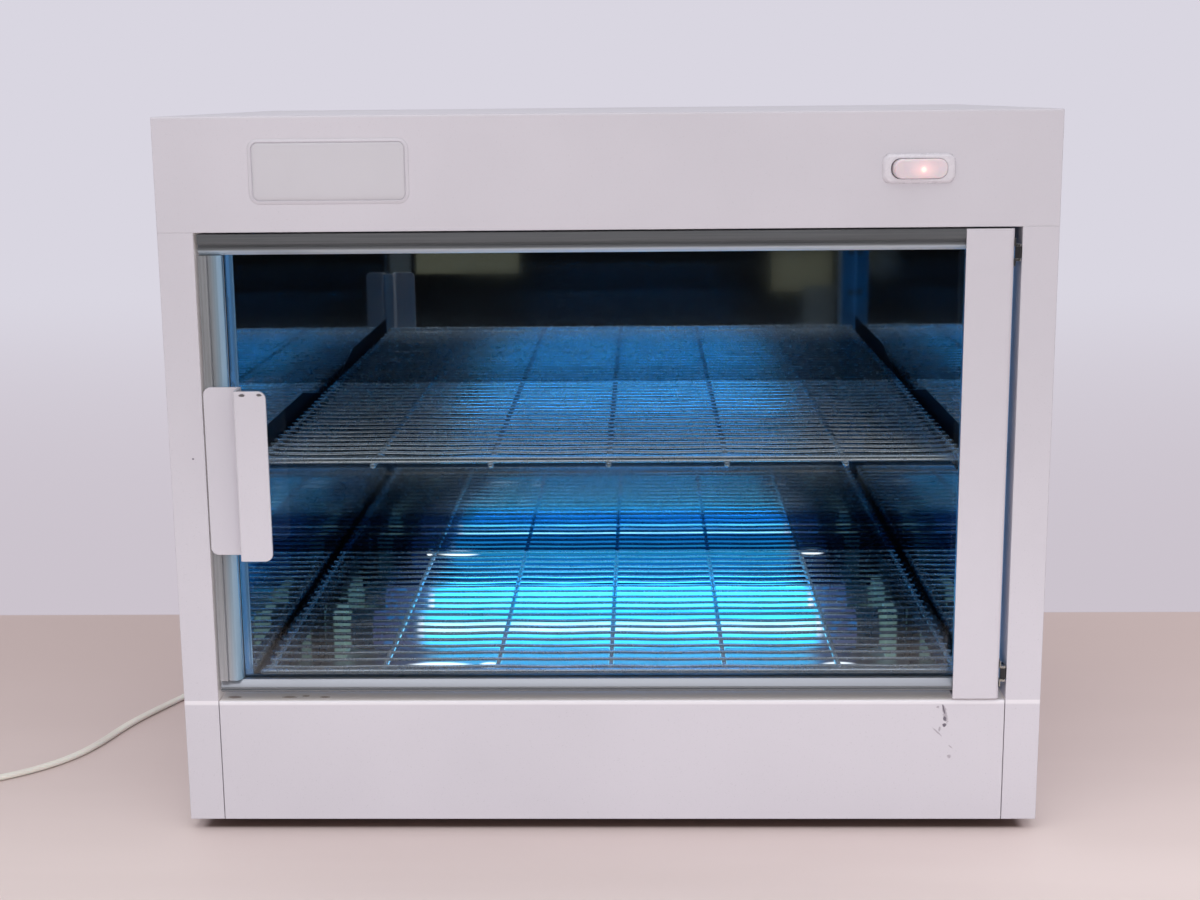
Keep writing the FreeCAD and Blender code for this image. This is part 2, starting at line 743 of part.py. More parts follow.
# ---------------------------------------------------------------- wire shelves

CROSS_WIRES = 7
SHELF_WIRES = 21
cross_pitch = f"(2 * (shelf_x - cross_inset) / {CROSS_WIRES - 1})"
wire_pitch = f"((shelf_end_y - shelf_y - rim_wire / 2 - shelf_wire / 2) / {SHELF_WIRES})"
for name, level in (("upper_shelf", "upper_shelf_z"), ("lower_shelf", "lower_shelf_z")):
    # Front-to-back wires below, the thicker front rim and the thin cross rods welded on top.
    bars = [rod(f"{name}_cross_{index}", "y",
                (f"({index} - {(CROSS_WIRES - 1) / 2}) * {cross_pitch}", f"{level} + cross_wire / 2"),
                ("shelf_y", "shelf_end_y"), "cross_wire")
            for index in range(CROSS_WIRES)]
    seat = f"{level} + cross_wire - weld_sink"
    bars.append(rod(f"{name}_rim", "x", ("shelf_y + rim_wire / 2", f"{seat} + rim_wire / 2"),
                    ("-shelf_x", "shelf_x"), "rim_wire"))
    bars += [rod(f"{name}_wire_{index}", "x",
                 (f"shelf_y + rim_wire / 2 + {index} * {wire_pitch}", f"{seat} + shelf_wire / 2"),
                 ("-shelf_x", "shelf_x"), "shelf_wire")
             for index in range(1, SHELF_WIRES + 1)]
    node(name, fuse(name, *bars))

# ---------------------------------------------------------------- ultraviolet lamps and their holders

holders = []
for index in (1, 2):
    lamp_y = f"front_y + lamp_front + {index - 1} * lamp_pitch"
    centre = (lamp_y, "lamp_z")
    inside = "lamp_end - cap_end"
    outer = rod(f"lamp_{index}_outer", "x", centre, (f"-({inside})", inside), "lamp_glass")
    hollow = rod(f"lamp_{index}_hollow", "x", centre, (f"-({inside})", inside),
                 "lamp_glass - 2 * glass_wall")
    node(f"lamp_{index}_tube", cut(f"lamp_{index}_tube", outer, hollow))

    caps = []
    for side, sign in SIDES:
        name = f"lamp_{index}_{side}"
        shell = rod(name + "_shell", "x", centre, across(sign, "lamp_end - lamp_cap", "lamp_end"),
                    "lamp_diameter")
        cup = rod(name + "_cup", "x", centre, across(sign, "lamp_end - lamp_cap", inside),
                  "lamp_diameter - 2 * cap_wall")
        pins = [rod(f"{name}_pin_{step}", "x", (f"{lamp_y} + {step} * pin_pitch / 2", "lamp_z"),
                    across(sign, "lamp_end - cap_end / 2", "lamp_end + pin_length"), "pin_diameter")
                for step in (-1, 1)]
        caps.append(fuse(name + "_cap", cut(name + "_end", shell, cup), *pins))

        block = box(name + "_block", across(sign, "holder_x", "holder_x + holder_thick"),
                    around(lamp_y, "holder_width"), ("tray_z", "tray_z + holder_height"))
        boss = rod(name + "_boss", "x", centre, across(sign, "boss_x", "holder_x"), "holder_boss")
        depth = across(sign, "boss_x", "lamp_end + pin_length + running_gap")
        bore = rod(name + "_bore", "x", centre, depth, "pin_circle")
        slot = box(name + "_slot", depth, around(lamp_y, "holder_slot"),
                   ("lamp_z", "tray_z + holder_height"))
        mould = fuse(name + "_mould", block, boss)
        holders.append(cut(name + "_holder", mould, fuse(name + "_way", bore, slot)))
    node(f"lamp_{index}_caps", group(f"lamp_{index}_caps", caps))
node("lamp_holders", group("lamp_holders", holders))

# ---------------------------------------------------------------- electrics in the base and the header

ballasts = []
starters = []
sockets = []
for side, sign in SIDES:
    middle = f"{sign} * ballast_pitch / 2"
    deep = around("front_y + ballast_y", "ballast_width")
    core = box(f"ballast_{side}_core", around(middle, "ballast_length"), deep,
               ("pan_top", "pan_top + ballast_height"))
    plate = box(f"ballast_{side}_plate", around(middle, "ballast_length + 2 * ballast_tab"), deep,
                ("pan_top", "pan_top + panel_sheet"))
    spots = [(f"{middle} + {end} * (ballast_length + ballast_tab) / 2", "front_y + ballast_y")
             for end in (-1, 1)]
    drills = holes(f"ballast_{side}_holes", "z", spots, ("pan_top", "pan_top + panel_sheet"))
    ballasts.append(cut(f"ballast_{side}", fuse(f"ballast_{side}_block", core, plate), drills))
    inner_screws += [screw(f"ballast_screw_{side}_{index}", "z", spot, "pan_top + panel_sheet", 1,
                           "panel_sheet") for index, spot in enumerate(spots)]

    near = f"{sign} * starter_pitch"
    sockets.append(box(f"socket_{side}", around(near, "socket_length"),
                       around("front_y + starter_y", "socket_width"),
                       ("pan_top", "pan_top + socket_height")))
    face = f"{near} + {sign} * socket_length / 2"
    starters.append(rod(f"starter_{side}", "x", ("front_y + starter_y", "pan_top + socket_axis"),
                        from_face(face, sign, "starter_length"), "starter_diameter"))
node("ballasts", group("ballasts", ballasts))
node("inner_screws", group("inner_screws", inner_screws))
node("starters", group("starters", starters))
node("starter_sockets", group("starter_sockets", sockets))

terminal = body("terminal_block")
terminal_y = around("front_y + terminal_y", "terminal_depth")
pad(terminal, "z", ("pan_top", "pan_top + terminal_height"),
    oblong(around("-terminal_x", "terminal_width"), terminal_y))
node("terminal_block", terminal)

# The switch: a bezel with rounded ends on a body that fills the header's hole; a well for the rocker.
switch = body("switch_body")
bezel = oblong(around("switch_x", "bezel_width"), around("switch_z", "bezel_height"))
pad(switch, "y", ("front_y - bezel_thick", "front_y"), bezel)
dress(switch, "Fillet", "Radius", "bezel_corner", along("y"))
dress(switch, "Chamfer", "Size", "bezel_bevel", on_plane("y", "front_y - bezel_thick"))
pad(switch, "y", ("front_y", "front_y + switch_depth"),
    oblong(around("switch_x", "switch_width"), around("switch_z", "switch_height")))
well = oblong(around("switch_x", "well_width"), around("switch_z", "well_height"))
pocket(switch, "y", ("front_y - bezel_thick", "front_y + well_depth"), well)
pocket(switch, "z", around("switch_z", "switch_height"),
       rings=[("switch_x", "pivot_y", "pivot_diameter + 2 * pin_fit")])
node("switch_body", switch)
node("switch_tabs", group("switch_tabs", [
    box(f"switch_tab_{step}", around(f"switch_x + {step} * tab_pitch", "tab_thick"),
        ("front_y + switch_depth", "front_y + switch_depth + tab_length"), around("switch_z", "tab_width"))
    for step in (-1, 0, 1)]))
node("neon_lamp", rod("neon_lamp", "x", ("front_y + well_depth - neon_diameter / 2", "switch_z"),
                      around("switch_x", "neon_length"), "neon_diameter"))

# The rocker is drawn about its pivot, level, and set on it with the right end pressed in.
rocker = body("rocker")
rocker_x = around("0", "rocker_width")
section = [(rocker_x[0], "-rocker_crown"), ("0", "-rocker_valley"), (rocker_x[1], "-rocker_crown"),
           (rocker_x[1], "rocker_skirt"), (rocker_x[0], "rocker_skirt")]
pad(rocker, "z", around("0", "rocker_height"), section)
pocket(rocker, "y", ("rocker_wall - rocker_valley", "rocker_skirt"),
       oblong(around("0", "rocker_width - 2 * rocker_wall"), around("0", "rocker_height - 2 * rocker_wall")))
pad(rocker, "z", around("0", "switch_height - 2 * fit_gap"), rings=[("0", "0", "pivot_diameter")])
for side, text in (("x", "switch_x"), ("y", "pivot_y"), ("z", "switch_z")):
    bind(rocker, f"Placement.Base.{side}", text)
bind(rocker, "Placement.Rotation.Angle", "rocker_tilt")
node("rocker", rocker)

nameplate = body("nameplate")
pad(nameplate, "y", ("front_y - plate_thick", "front_y"),
    oblong(("plate_x", "plate_x + plate_width"), ("plate_z", "plate_z + plate_height")))
dress(nameplate, "Fillet", "Radius", "plate_corner", along("y"))
dress(nameplate, "Chamfer", "Size", "plate_bevel", on_plane("y", "front_y - plate_thick"))
node("nameplate", nameplate)

# ---------------------------------------------------------------- door

FRAME_Y = ("frame_y", "frame_back")
GROOVE_Y = ("glass_y - gasket_wall", "glass_back + gasket_wall")
GRIP = "(glass_grip + gasket_wall)"
groove_x = (f"light_left - {GRIP}", f"light_right + {GRIP}")
groove_z = (f"light_low - {GRIP}", f"light_high + {GRIP}")
frame_x = ("door_left", "frame_right")
light_x = ("light_left", "light_right")
light_z = ("light_low", "light_high")
STEP_Y = ("frame_y", "frame_y + step_depth")
HANDLE_SCREWS = [("door_left + handle_screw_inset",
                  f"(handle_low + handle_high) / 2 + {step} * handle_screw_pitch / 2") for step in (-1, 1)]
STRIP_SCREWS = [("door_right - strip_screw_inset", f"door_middle + {sign} * ({away})")
                for sign in (-1, 1)
                for away in ("strip_screw_first", "strip_screw_first + strip_screw_pitch")]

rail_bar = box("top_rail_bar", frame_x, FRAME_Y, ("light_high", "door_high"))
rail_groove = box("top_rail_groove", groove_x, GROOVE_Y, ("light_high", groove_z[1]))
rail_step = box("top_rail_step", frame_x, STEP_Y, ("light_high", "door_high - step_width"))
node("door_top_rail", cut("door_top_rail", rail_bar, fuse("top_rail_cuts", rail_groove, rail_step)))

rail_bar = box("bottom_rail_bar", frame_x, FRAME_Y, ("door_low", "light_low"))
rail_groove = box("bottom_rail_groove", groove_x, GROOVE_Y, (groove_z[0], "light_low"))
node("door_bottom_rail", cut("door_bottom_rail", rail_bar, rail_groove))

stile_bar = box("stile_bar", ("door_left", "light_left"), FRAME_Y, light_z)
stile_groove = box("stile_groove", (groove_x[0], "light_left"), GROOVE_Y, light_z)
stile_step = box("stile_step", ("door_left + step_width", "light_left"), STEP_Y, light_z)
stile_cuts = fuse("stile_cuts", stile_groove, stile_step)
stile_drill = holes("stile_drill", "y", HANDLE_SCREWS, FRAME_Y)
node("door_handle_stile", cut("door_handle_stile", cut("stile_profile", stile_bar, stile_cuts), stile_drill))

stile_bar = box("hinge_stile_bar", ("light_right", "frame_right"), FRAME_Y, light_z)
stile_groove = box("hinge_stile_groove", ("light_right", groove_x[1]), GROOVE_Y, light_z)
stile_drill = holes("hinge_stile_drill", "y", STRIP_SCREWS, FRAME_Y)
node("door_hinge_stile", cut("door_hinge_stile", cut("hinge_profile", stile_bar, stile_groove), stile_drill))

glass = body("door_glass")
pad(glass, "y", ("glass_y", "glass_back"),
    oblong(("light_left - glass_grip", "light_right + glass_grip"),
           ("light_low - glass_grip", "light_high + glass_grip")))
node("door_glass", glass)

gasket = body("glass_gasket")
pad(gasket, "y", GROOVE_Y, oblong(groove_x, groove_z))
pocket(gasket, "y", GROOVE_Y, oblong(light_x, light_z))
pocket(gasket, "y", ("glass_y", "glass_back"),
       oblong(("light_left - glass_grip", "light_right + glass_grip"),
              ("light_low - glass_grip", "light_high + glass_grip")))
node("glass_gasket", gasket)

# The painted cover over the hinge stile: front, hinge-side return and both ends, open behind.
strip = body("hinge_strip")
pad(strip, "z", ("strip_low", "strip_high"), oblong(("strip_left", "door_right"), ("strip_y", "strip_back")))
pocket(strip, "x", ("strip_left", "door_right - panel_sheet"),
       oblong(("strip_y + panel_sheet", "strip_back"), ("strip_low + panel_sheet", "door_high")))
pocket(strip, "y", ("strip_y + strip_skin", "strip_y + panel_sheet"),
       rings=[(x, z, "screw_diameter + 2 * fit_gap") for x, z in STRIP_SCREWS])
dress(strip, "Fillet", "Radius", "strip_corner", along("z", {"x": "door_right", "y": "strip_y"}))
node("hinge_strip", strip)
node("hinge_strip_screws", group("hinge_strip_screws", [
    screw(f"strip_screw_{index}", "y", spot, "frame_back", 1, "frame_back - strip_y - strip_skin - fit_gap")
    for index, spot in enumerate(STRIP_SCREWS)]))

# The handle: a flat plate on the stile, a web forwards and a lip to the right.
handle = body("handle")
lip_x = "handle_bend_x + handle_lip"
z_profile = [("handle_left", "frame_y - handle_sheet"),
             ("handle_bend_x - handle_sheet", "frame_y - handle_sheet"),
             ("handle_bend_x - handle_sheet", "handle_tip_y"), (lip_x, "handle_tip_y"),
             (lip_x, "handle_tip_y + handle_sheet"), ("handle_bend_x", "handle_tip_y + handle_sheet"),
             ("handle_bend_x", "frame_y"), ("handle_left", "frame_y")]
pad(handle, "z", ("handle_low", "handle_high"), z_profile)
lip_y = "handle_tip_y + handle_sheet / 2"
plate_y = "frame_y - handle_sheet / 2"
for corner_x, corner_y in ((lip_x, lip_y), ("handle_left", plate_y)):
    for corner_z in ("handle_low", "handle_high"):
        dress(handle, "Fillet", "Radius", "handle_corner",
              along("y", {"x": corner_x, "y": corner_y, "z": corner_z}))
dress(handle, "Fillet", "Radius", "handle_bend",
      along("z", {"x": "handle_bend_x - handle_sheet", "y": "handle_tip_y"}))
dress(handle, "Fillet", "Radius", "handle_bend", along("z", {"x": "handle_bend_x", "y": "frame_y"}))
pocket(handle, "y", ("frame_y - handle_sheet + strip_skin", "frame_y"),
       rings=[(x, z, "screw_diameter + 2 * fit_gap") for x, z in HANDLE_SCREWS])
node("handle", handle)

backing = body("handle_backing")
pad(backing, "y", ("frame_back", "frame_back + backing_sheet"),
    oblong(("door_left", "light_left"), ("handle_low", "handle_high")))
pocket(backing, "y", ("frame_back", "frame_back + backing_sheet"),
       rings=[(x, z, "screw_diameter + 2 * fit_gap") for x, z in HANDLE_SCREWS])
dress(backing, "Fillet", "Radius", "plate_corner", along("y"))
node("handle_backing", backing)
node("handle_screws", group("handle_screws", [
    screw(f"handle_screw_{index}", "y", spot, "frame_back + backing_sheet", 1,
          "frame_depth + backing_sheet + handle_sheet - strip_skin - fit_gap")
    for index, spot in enumerate(HANDLE_SCREWS)]))

# ---------------------------------------------------------------- hinges, catch and stops

brackets = []
ears = []
pins = []
EAR = "(knuckle_height / 2 + running_gap)"
PIVOT = ("hinge_x", "hinge_y")
for name, level in (("low", "hinge_low_z"), ("high", "hinge_high_z")):
    tall = around(level, "knuckle_height")
    barrel = rod(f"hinge_{name}_barrel", "z", PIVOT, tall, "knuckle_diameter")
    leaf = box(f"hinge_{name}_leaf", ("post_x - leaf_sheet", "post_x"),
               ("hinge_y", "hinge_y + leaf_depth"), tall)
    bore = rod(f"hinge_{name}_bore", "z", PIVOT, tall, "hinge_pin + 2 * pin_fit")
    brackets.append(cut(f"hinge_bracket_{name}", fuse(f"hinge_{name}_fixed", barrel, leaf), bore))
    for end in (-1, 1):
        span = from_face(f"{level} + {end} * {EAR}", end, "ear_thick")
        tab = from_face(f"{level} + {end} * {EAR}", end, "ear_height")
        disc = rod(f"ear_{name}_disc", "z", PIVOT, span, "knuckle_diameter")
        neck = box(f"ear_{name}_neck", ("door_right", "hinge_x"), around("hinge_y", "2 * ear_thick"), span)
        plate = box(f"ear_{name}_plate", ("door_right", "door_right + ear_leaf"),
                    ("hinge_y - ear_thick", "hinge_y + leaf_depth"), tab)
        hole = rod(f"ear_{name}_hole", "z", PIVOT, span, "hinge_pin + 2 * pin_fit")
        ears.append(cut(f"hinge_ear_{name}", fuse(f"ear_{name}", disc, neck, plate), hole))
    reach = f"2 * ({EAR} + ear_thick)"
    pins.append(rod(f"hinge_pin_{name}", "z", PIVOT, around(level, reach), "hinge_pin"))
node("hinge_brackets", group("hinge_brackets", brackets))
node("hinge_ears", group("hinge_ears", ears))
node("hinge_pins", group("hinge_pins", pins))

catch_x = around("door_left + stile_width / 2", "magnet_width")
catch_z = ("catch_low", "catch_high")
node("striker_plate", box("striker_plate", catch_x, ("frame_back", "frame_back + striker_thick"), catch_z))
node("catch_magnet", box("catch_magnet", catch_x,
                         ("frame_back + striker_thick + running_gap", "liner_y"), catch_z))
node("door_stops", group("door_stops", [
    rod(f"door_stop_{index}", "y", ("door_left + stile_width / 2", height),
        ("frame_back + running_gap", "liner_y"), "stop_diameter")
    for index, height in enumerate(("door_low + stop_margin", "door_high - stop_margin"))]))

# ---------------------------------------------------------------- mains lead and inner wiring


def bent_rod(name, points, diameter):
    """A round bar along straight runs, joined by arcs of 0.45 of the shorter run."""
    share = 0.45
    edges = []
    start = points[0]
    radii = []
    length = 0
    for before, corner, after in zip(points, points[1:], points[2:]):
        inward = (before - corner).normalize()
        outward = (after - corner).normalize()
        tangent = share * min((before - corner).Length, (after - corner).Length)
        half_turn = (math.pi - inward.getAngle(outward)) / 2
        radius = tangent / math.tan(half_turn)
        bisector = (inward + outward).normalize()
        middle = corner + bisector * (radius / math.cos(half_turn) - radius)
        first = corner + inward * tangent
        last = corner + outward * tangent
        edges.append(Part.LineSegment(start, first).toShape())
        edges.append(Part.Arc(first, middle, last).toShape())
        length += (first - start).Length + 2 * half_turn * radius
        radii.append(radius)
        start = last
    edges.append(Part.LineSegment(start, points[-1]).toShape())
    length += (points[-1] - start).Length
    path = Part.Wire(edges)
    ring = Part.Wire(Part.Circle(points[0], points[1] - points[0], diameter / 2).toShape())
    solid = path.makePipeShell([ring], True, True)
    expected = math.pi * diameter ** 2 / 4 * length
    assert abs(solid.Volume / expected - 1) < 0.01, f"{name} has the wrong volume"
    print(f"{name}: {length:.0f} mm long, radii from {min(radii):.0f} mm:",
          " ".join(f"{radius:.0f}" for radius in radii))
    feature = doc.addObject("Part::Feature", name)
    feature.Shape = solid
    return node(name, feature)


relief_bore = ("relief_x", "relief_z")
tail = rod("relief_tail", "y", relief_bore, ("back_face", "relief_y"), "relief_root", "relief_tip")
collar = rod("relief_collar", "y", relief_bore,
             ("back_face", "back_face + relief_flange_thick"), "relief_flange")
neck = rod("relief_neck", "y", relief_bore, ("back_inner", "back_face"), "relief_root")
clamp = rod("relief_clamp", "y", relief_bore,
            ("back_inner - relief_flange_thick", "back_inner"), "relief_flange")
node("cord_relief", fuse("cord_relief", tail, collar, neck, clamp))
node("inner_lead", rod("inner_lead", "y", relief_bore,
                       (f"{terminal_y[1]}", "back_inner - relief_flange_thick"), "cord_diameter"))

exit_point = Vector(number("relief_x"), number("relief_y"), number("relief_z"))
floor_z = number("cord_diameter / 2 + fit_gap")
# The lead's points from its exit, with their heights over the floor.
lead_points = [(0, 19, exit_point.z), (-5, 37, 16), (-15, 53, 8), (-33, 66, floor_z), (-52, 65, floor_z),
               (-66, 51, floor_z), (-72, 27, floor_z), (-72, -4, floor_z), (-70, -37, floor_z),
               (-75, -73, floor_z), (-87, -108, floor_z), (-102, -140, floor_z), (-115, -172, floor_z),
               (-122, -203, floor_z), (-132, -229, floor_z), (-151, -252, floor_z),
               (-178, -270, floor_z), (-206, -285, floor_z)]
cord_route = [exit_point] + [Vector(exit_point.x + x, exit_point.y + y, z) for x, y, z in lead_points]
bent_rod("power_cord", cord_route, number("cord_diameter"))

coil_centre = ("coil_x", "coil_y")
coil_z = ("0", "coil_section")
coil_outer = rod("coil_outer", "z", coil_centre, coil_z, "coil_mean + coil_section")
coil_inner = rod("coil_inner", "z", coil_centre, coil_z, "coil_mean - coil_section")
node("cord_coil", cut("cord_coil", coil_outer, coil_inner))

# The plug is drawn along +X from the end of its neck, and set beside the coil where the last turn leaves.
leave_angle = 200
leave = Rotation(Vector(0, 0, 1), leave_angle)
plug_reach = 20.0
plug_spot = (Vector(number("coil_x"), number("coil_y"), 0)
             + leave.multVec(Vector(number("coil_mean") / 2, 0, 0))
             + leave.multVec(Vector(0, plug_reach, 0)))
plug_place = Placement(plug_spot, Rotation(Vector(0, 0, 1), leave_angle + 90))
plug = body("plug")
plug_x = ("plug_neck", "plug_neck + plug_length")
pad(plug, "x", plug_x, oblong(around("0", "plug_width"), ("0", "plug_height")))
dress(plug, "Fillet", "Radius", "plug_corner", along("x"))
pad(plug, "x", ("0", "plug_neck"), rings=[("0", "plug_height / 2", "relief_tip")])
plug.Placement = plug_place
node("plug", plug)
blades = group("plug_blades", [
    box(f"blade_{step}", (plug_x[1], f"{plug_x[1]} + blade_length"),
        around(f"{step} * blade_pitch / 2", "blade_thick"), around("plug_height / 2", "blade_width"))
    for step in (-1, 1)])
blades.Placement = plug_place
node("plug_blades", blades)

# The lead from the switch: behind the header, down beside the liner and across the base.
tab_end = "front_y + switch_depth + tab_length"
switch_route = [Vector(*(number(place) for place in spot)) for spot in [
    ("switch_x", tab_end, "switch_z"),
    ("switch_x", f"{tab_end} + wire_straight", "switch_z"),
    ("wire_x", "wire_y", "switch_z"),
    ("wire_x", "wire_y", "wire_z + wire_turn"),
    ("wire_x - wire_inset", "wire_cross_y", "wire_z"),
    ("wire_turn - terminal_x", "wire_cross_y", "wire_z"),
    ("-terminal_x", "wire_cross_y + wire_turn", "wire_z"),
    ("-terminal_x", terminal_y[0], "wire_z")]]
bent_rod("switch_wiring", switch_route, number("wire_diameter"))

# ---------------------------------------------------------------- checks and files

doc.recompute()
for thing in doc.Objects:
    faults = {"Invalid", "Error"} & set(thing.State)
    assert not faults, f"{thing.Label} is {faults}"
for removed in pockets:
    assert removed.Shape.Volume < removed.BaseFeature.Shape.Volume - 1e-6, f"{removed.Label} cuts nothing"
labels = [thing.Label for thing in nodes]
assert len(set(labels)) == len(labels), "two sub-parts share a name"
for thing in nodes:
    assert not thing.Shape.isNull() and thing.Shape.isValid(), f"{thing.Label} has no valid shape"

os.makedirs("parts", exist_ok=True)
for thing in nodes:
    thing.Shape.exportStep(f"parts/{thing.Label}.step")
print(len(nodes), "sub-parts")
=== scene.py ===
import json
import math

import bpy
import numpy as np
from mathutils import Matrix, Vector


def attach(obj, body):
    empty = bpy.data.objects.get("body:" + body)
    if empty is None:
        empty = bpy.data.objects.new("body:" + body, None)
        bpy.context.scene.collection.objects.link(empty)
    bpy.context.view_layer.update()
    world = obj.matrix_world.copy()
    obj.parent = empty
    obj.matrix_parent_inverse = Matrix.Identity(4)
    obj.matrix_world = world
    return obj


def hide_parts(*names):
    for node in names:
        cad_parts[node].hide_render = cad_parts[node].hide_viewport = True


# A countertop ultraviolet sterilizer cabinet for dishes. Metres, +Z up, the door faces -Y.
# The dictionaries hold millimetres and degrees.

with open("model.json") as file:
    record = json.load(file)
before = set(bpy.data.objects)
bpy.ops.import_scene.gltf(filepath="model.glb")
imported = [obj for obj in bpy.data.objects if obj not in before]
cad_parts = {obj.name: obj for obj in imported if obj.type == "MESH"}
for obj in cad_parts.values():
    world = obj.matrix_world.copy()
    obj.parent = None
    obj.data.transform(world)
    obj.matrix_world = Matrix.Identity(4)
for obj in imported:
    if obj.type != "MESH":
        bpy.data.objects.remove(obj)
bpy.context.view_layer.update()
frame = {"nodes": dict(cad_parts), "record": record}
nodes = frame["nodes"]
mm = 0.001
print("frame loaded:", len(nodes), "nodes")


def addObject(name, data):
    made = bpy.data.objects.new(name, data)
    bpy.context.scene.collection.objects.link(made)
    return made


# An object of points and faces, smooth but for edges sharper than the angle.
# Faces come as arrays of corner numbers, one for each kind of face.
def meshPiece(name, points, faces, body, material, slot, smoothAngle=35):
    mesh = bpy.data.meshes.new(name)
    mesh.from_pydata(points.reshape(-1, 3) * mm, [], [face for kind in faces for face in kind.tolist()])
    mesh.polygons.foreach_set("use_smooth", np.ones(len(mesh.polygons), bool))
    mesh.set_sharp_from_angle(angle=math.radians(smoothAngle))
    mesh.materials.append(material)
    piece = addObject(name, mesh)
    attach(piece, body)
    return piece


# Quad (i, j) joins point j of ring i to ring i + 1 and to point j + 1. A lid closes each end, unless the last
# ring is joined to the first one.
def ringFaces(rows, around, closed=False):
    i, j = np.meshgrid(np.arange(rows if closed else rows - 1), np.arange(around), indexing="ij")
    k, here, onward = (j + 1) % around, i * around, (i + 1) % rows * around
    quads = np.stack([here + j, here + k, onward + k, onward + j], -1).reshape(-1, 4)
    lids = np.array([np.arange(around)[::-1], (rows - 1) * around + np.arange(around)])
    return [quads] if closed else [quads, lids]


# Rings turned so that their faces point out: the signed volume is the sum of (place - middle) . (step x rise),
# and the rings run the other way round where it is negative.
def outwards(rings):
    step = np.roll(rings, -1, axis=1) - rings
    rise = rings[1:] - rings[:-1]
    place = rings[:-1] - rings.mean(axis=(0, 1))
    volume = np.einsum("ijk,ijk->", place, np.cross(step[:-1], rise))
    return rings if volume > 0 else rings[:, ::-1]


# A closed skin over a stack of rings, rings[i, j] being point j of ring i.
def ringPiece(name, rings, body, material, slot, smoothAngle=35, closed=False):
    rings = outwards(np.asarray(rings, float))
    return meshPiece(name, rings, ringFaces(*rings.shape[:2], closed), body, material, slot, smoothAngle)


# Outlines (u, v) stood at places along an axis: point(i, j) = (u, v) of outline i, with place i on the axis.
def stacked(outlines, axis, places):
    u, v = np.moveaxis(np.asarray(outlines, float), -1, 0)
    flat = np.broadcast_to(np.asarray(places, float)[:, None], u.shape)
    return np.stack({"x": [flat, u, v], "y": [u, flat, v], "z": [u, v, flat]}[axis], -1)


# A rectangle with round corners: point(a) = corner centre + radius * (cos a, sin a), a quarter turn a corner.
def roundedBox(width, height, radius, centre=(0, 0), count=48):
    quarter = count // 4
    angle = (np.tile(np.linspace(0, 1, quarter), 4) + np.repeat(np.arange(4), quarter)) * np.pi / 2
    corner = np.repeat([[1, 1], [-1, 1], [-1, -1], [1, -1]], quarter, axis=0)
    middle = corner * [width / 2 - radius, height / 2 - radius] + centre
    return middle + radius * np.stack([np.cos(angle), np.sin(angle)], -1)


# An outline with its corners eased: each corner becomes corner + r * back, corner + r * (back + on) / 4 and
# corner + r * on, back and on being the directions to its neighbours.
def eased(outline, radius):
    outline = np.asarray(outline, float)
    back, on = np.roll(outline, 1, axis=0) - outline, np.roll(outline, -1, axis=0) - outline
    lengthBack, lengthOn = (np.linalg.norm(side, axis=1)[:, None] for side in (back, on))
    reach = np.minimum(radius, 0.4 * np.minimum(lengthBack, lengthOn))
    back, on = back / lengthBack * reach, on / lengthOn * reach
    return np.stack([outline + back, outline + (back + on) / 4, outline + on], 1).reshape(-1, 2)


# Round bars along lines[bar, station]: point = line + r * (cos a * side - sin a * over), with
# side = forward x up, over = side x forward, and r a quarter circle over the first and last four stations.
def barMesh(lines, diameter, around=8):
    forward = np.gradient(lines, axis=1)
    forward /= np.linalg.norm(forward, axis=-1, keepdims=True)
    side = np.cross(forward, (0, 0, 1))
    side /= np.linalg.norm(side, axis=-1, keepdims=True)
    over = np.cross(side, forward)
    bars, stations = lines.shape[:2]
    size = np.full(stations, diameter / 2)
    size[:4] = diameter / 2 * np.sin(np.linspace(0.2, 1, 4) * np.pi / 2)
    size[-4:] = size[3::-1]
    angle = np.arange(around) * 2 * np.pi / around
    spoke = np.cos(angle)[:, None] * side[:, :, None] - np.sin(angle)[:, None] * over[:, :, None]
    points = lines[:, :, None] + size[:, None, None] * spoke
    shift = (np.arange(bars) * stations * around)[:, None, None]
    return points, [(shift + kind).reshape(-1, kind.shape[1]) for kind in ringFaces(stations, around)]


# Places along a bar of a length: four for the dome at each end, even bays between.
def barStations(length, diameter, bays):
    dome = diameter / 2 * (1 - np.cos(np.linspace(0.2, 1, 4) * np.pi / 2))
    return np.concatenate([dome, np.linspace(dome[-1], length - dome[-1], bays + 1)[1:-1], length - dome[::-1]])


# Several meshes as one: corner numbers move up by the points before them.
def joined(*meshes):
    starts = np.cumsum([0] + [points.reshape(-1, 3).shape[0] for points, _ in meshes])
    points = np.concatenate([points.reshape(-1, 3) for points, _ in meshes])
    return points, [start + kind for start, (_, faces) in zip(starts, meshes) for kind in faces]


# A profile carried along a path: point(i, j) = path(i) + u(j) * side(i) + v(j) * over(i).
def alongPath(path, profile):
    forward = np.gradient(path, axis=0)
    side = np.cross(forward, (0, 0, 1))
    side /= np.linalg.norm(side, axis=1)[:, None]
    over = np.cross(side, forward)
    over /= np.linalg.norm(over, axis=1)[:, None]
    return path[:, None] + profile[None, :, :1] * side[:, None] + profile[None, :, 1:] * over[:, None]


# Links a socket to another one, or sets it to a plain value.
def fill(socket, value):
    if isinstance(value, bpy.types.NodeSocket):
        socket.id_data.links.new(value, socket)
    else:
        socket.default_value = value


# Fills a node's sockets by name, with spaces for low lines.
def feed(node, **sockets):
    for name, value in sockets.items():
        fill(node.inputs[name.replace("_", " ")], value)


def startMaterial(name, colour, roughness, metallic=0, faint=False, **more):
    material = bpy.data.materials.new(name)
    material.use_nodes = True
    if faint:  # its own glow is too weak to aim rays at
        material.cycles.emission_sampling = "NONE"
    shader = material.node_tree.nodes["Principled BSDF"]
    feed(shader, Base_Color=(*colour, 1), Roughness=roughness, Metallic=metallic, **more)
    return material, shader, addNode(material.node_tree, "TexCoord", {}).outputs["Object"]


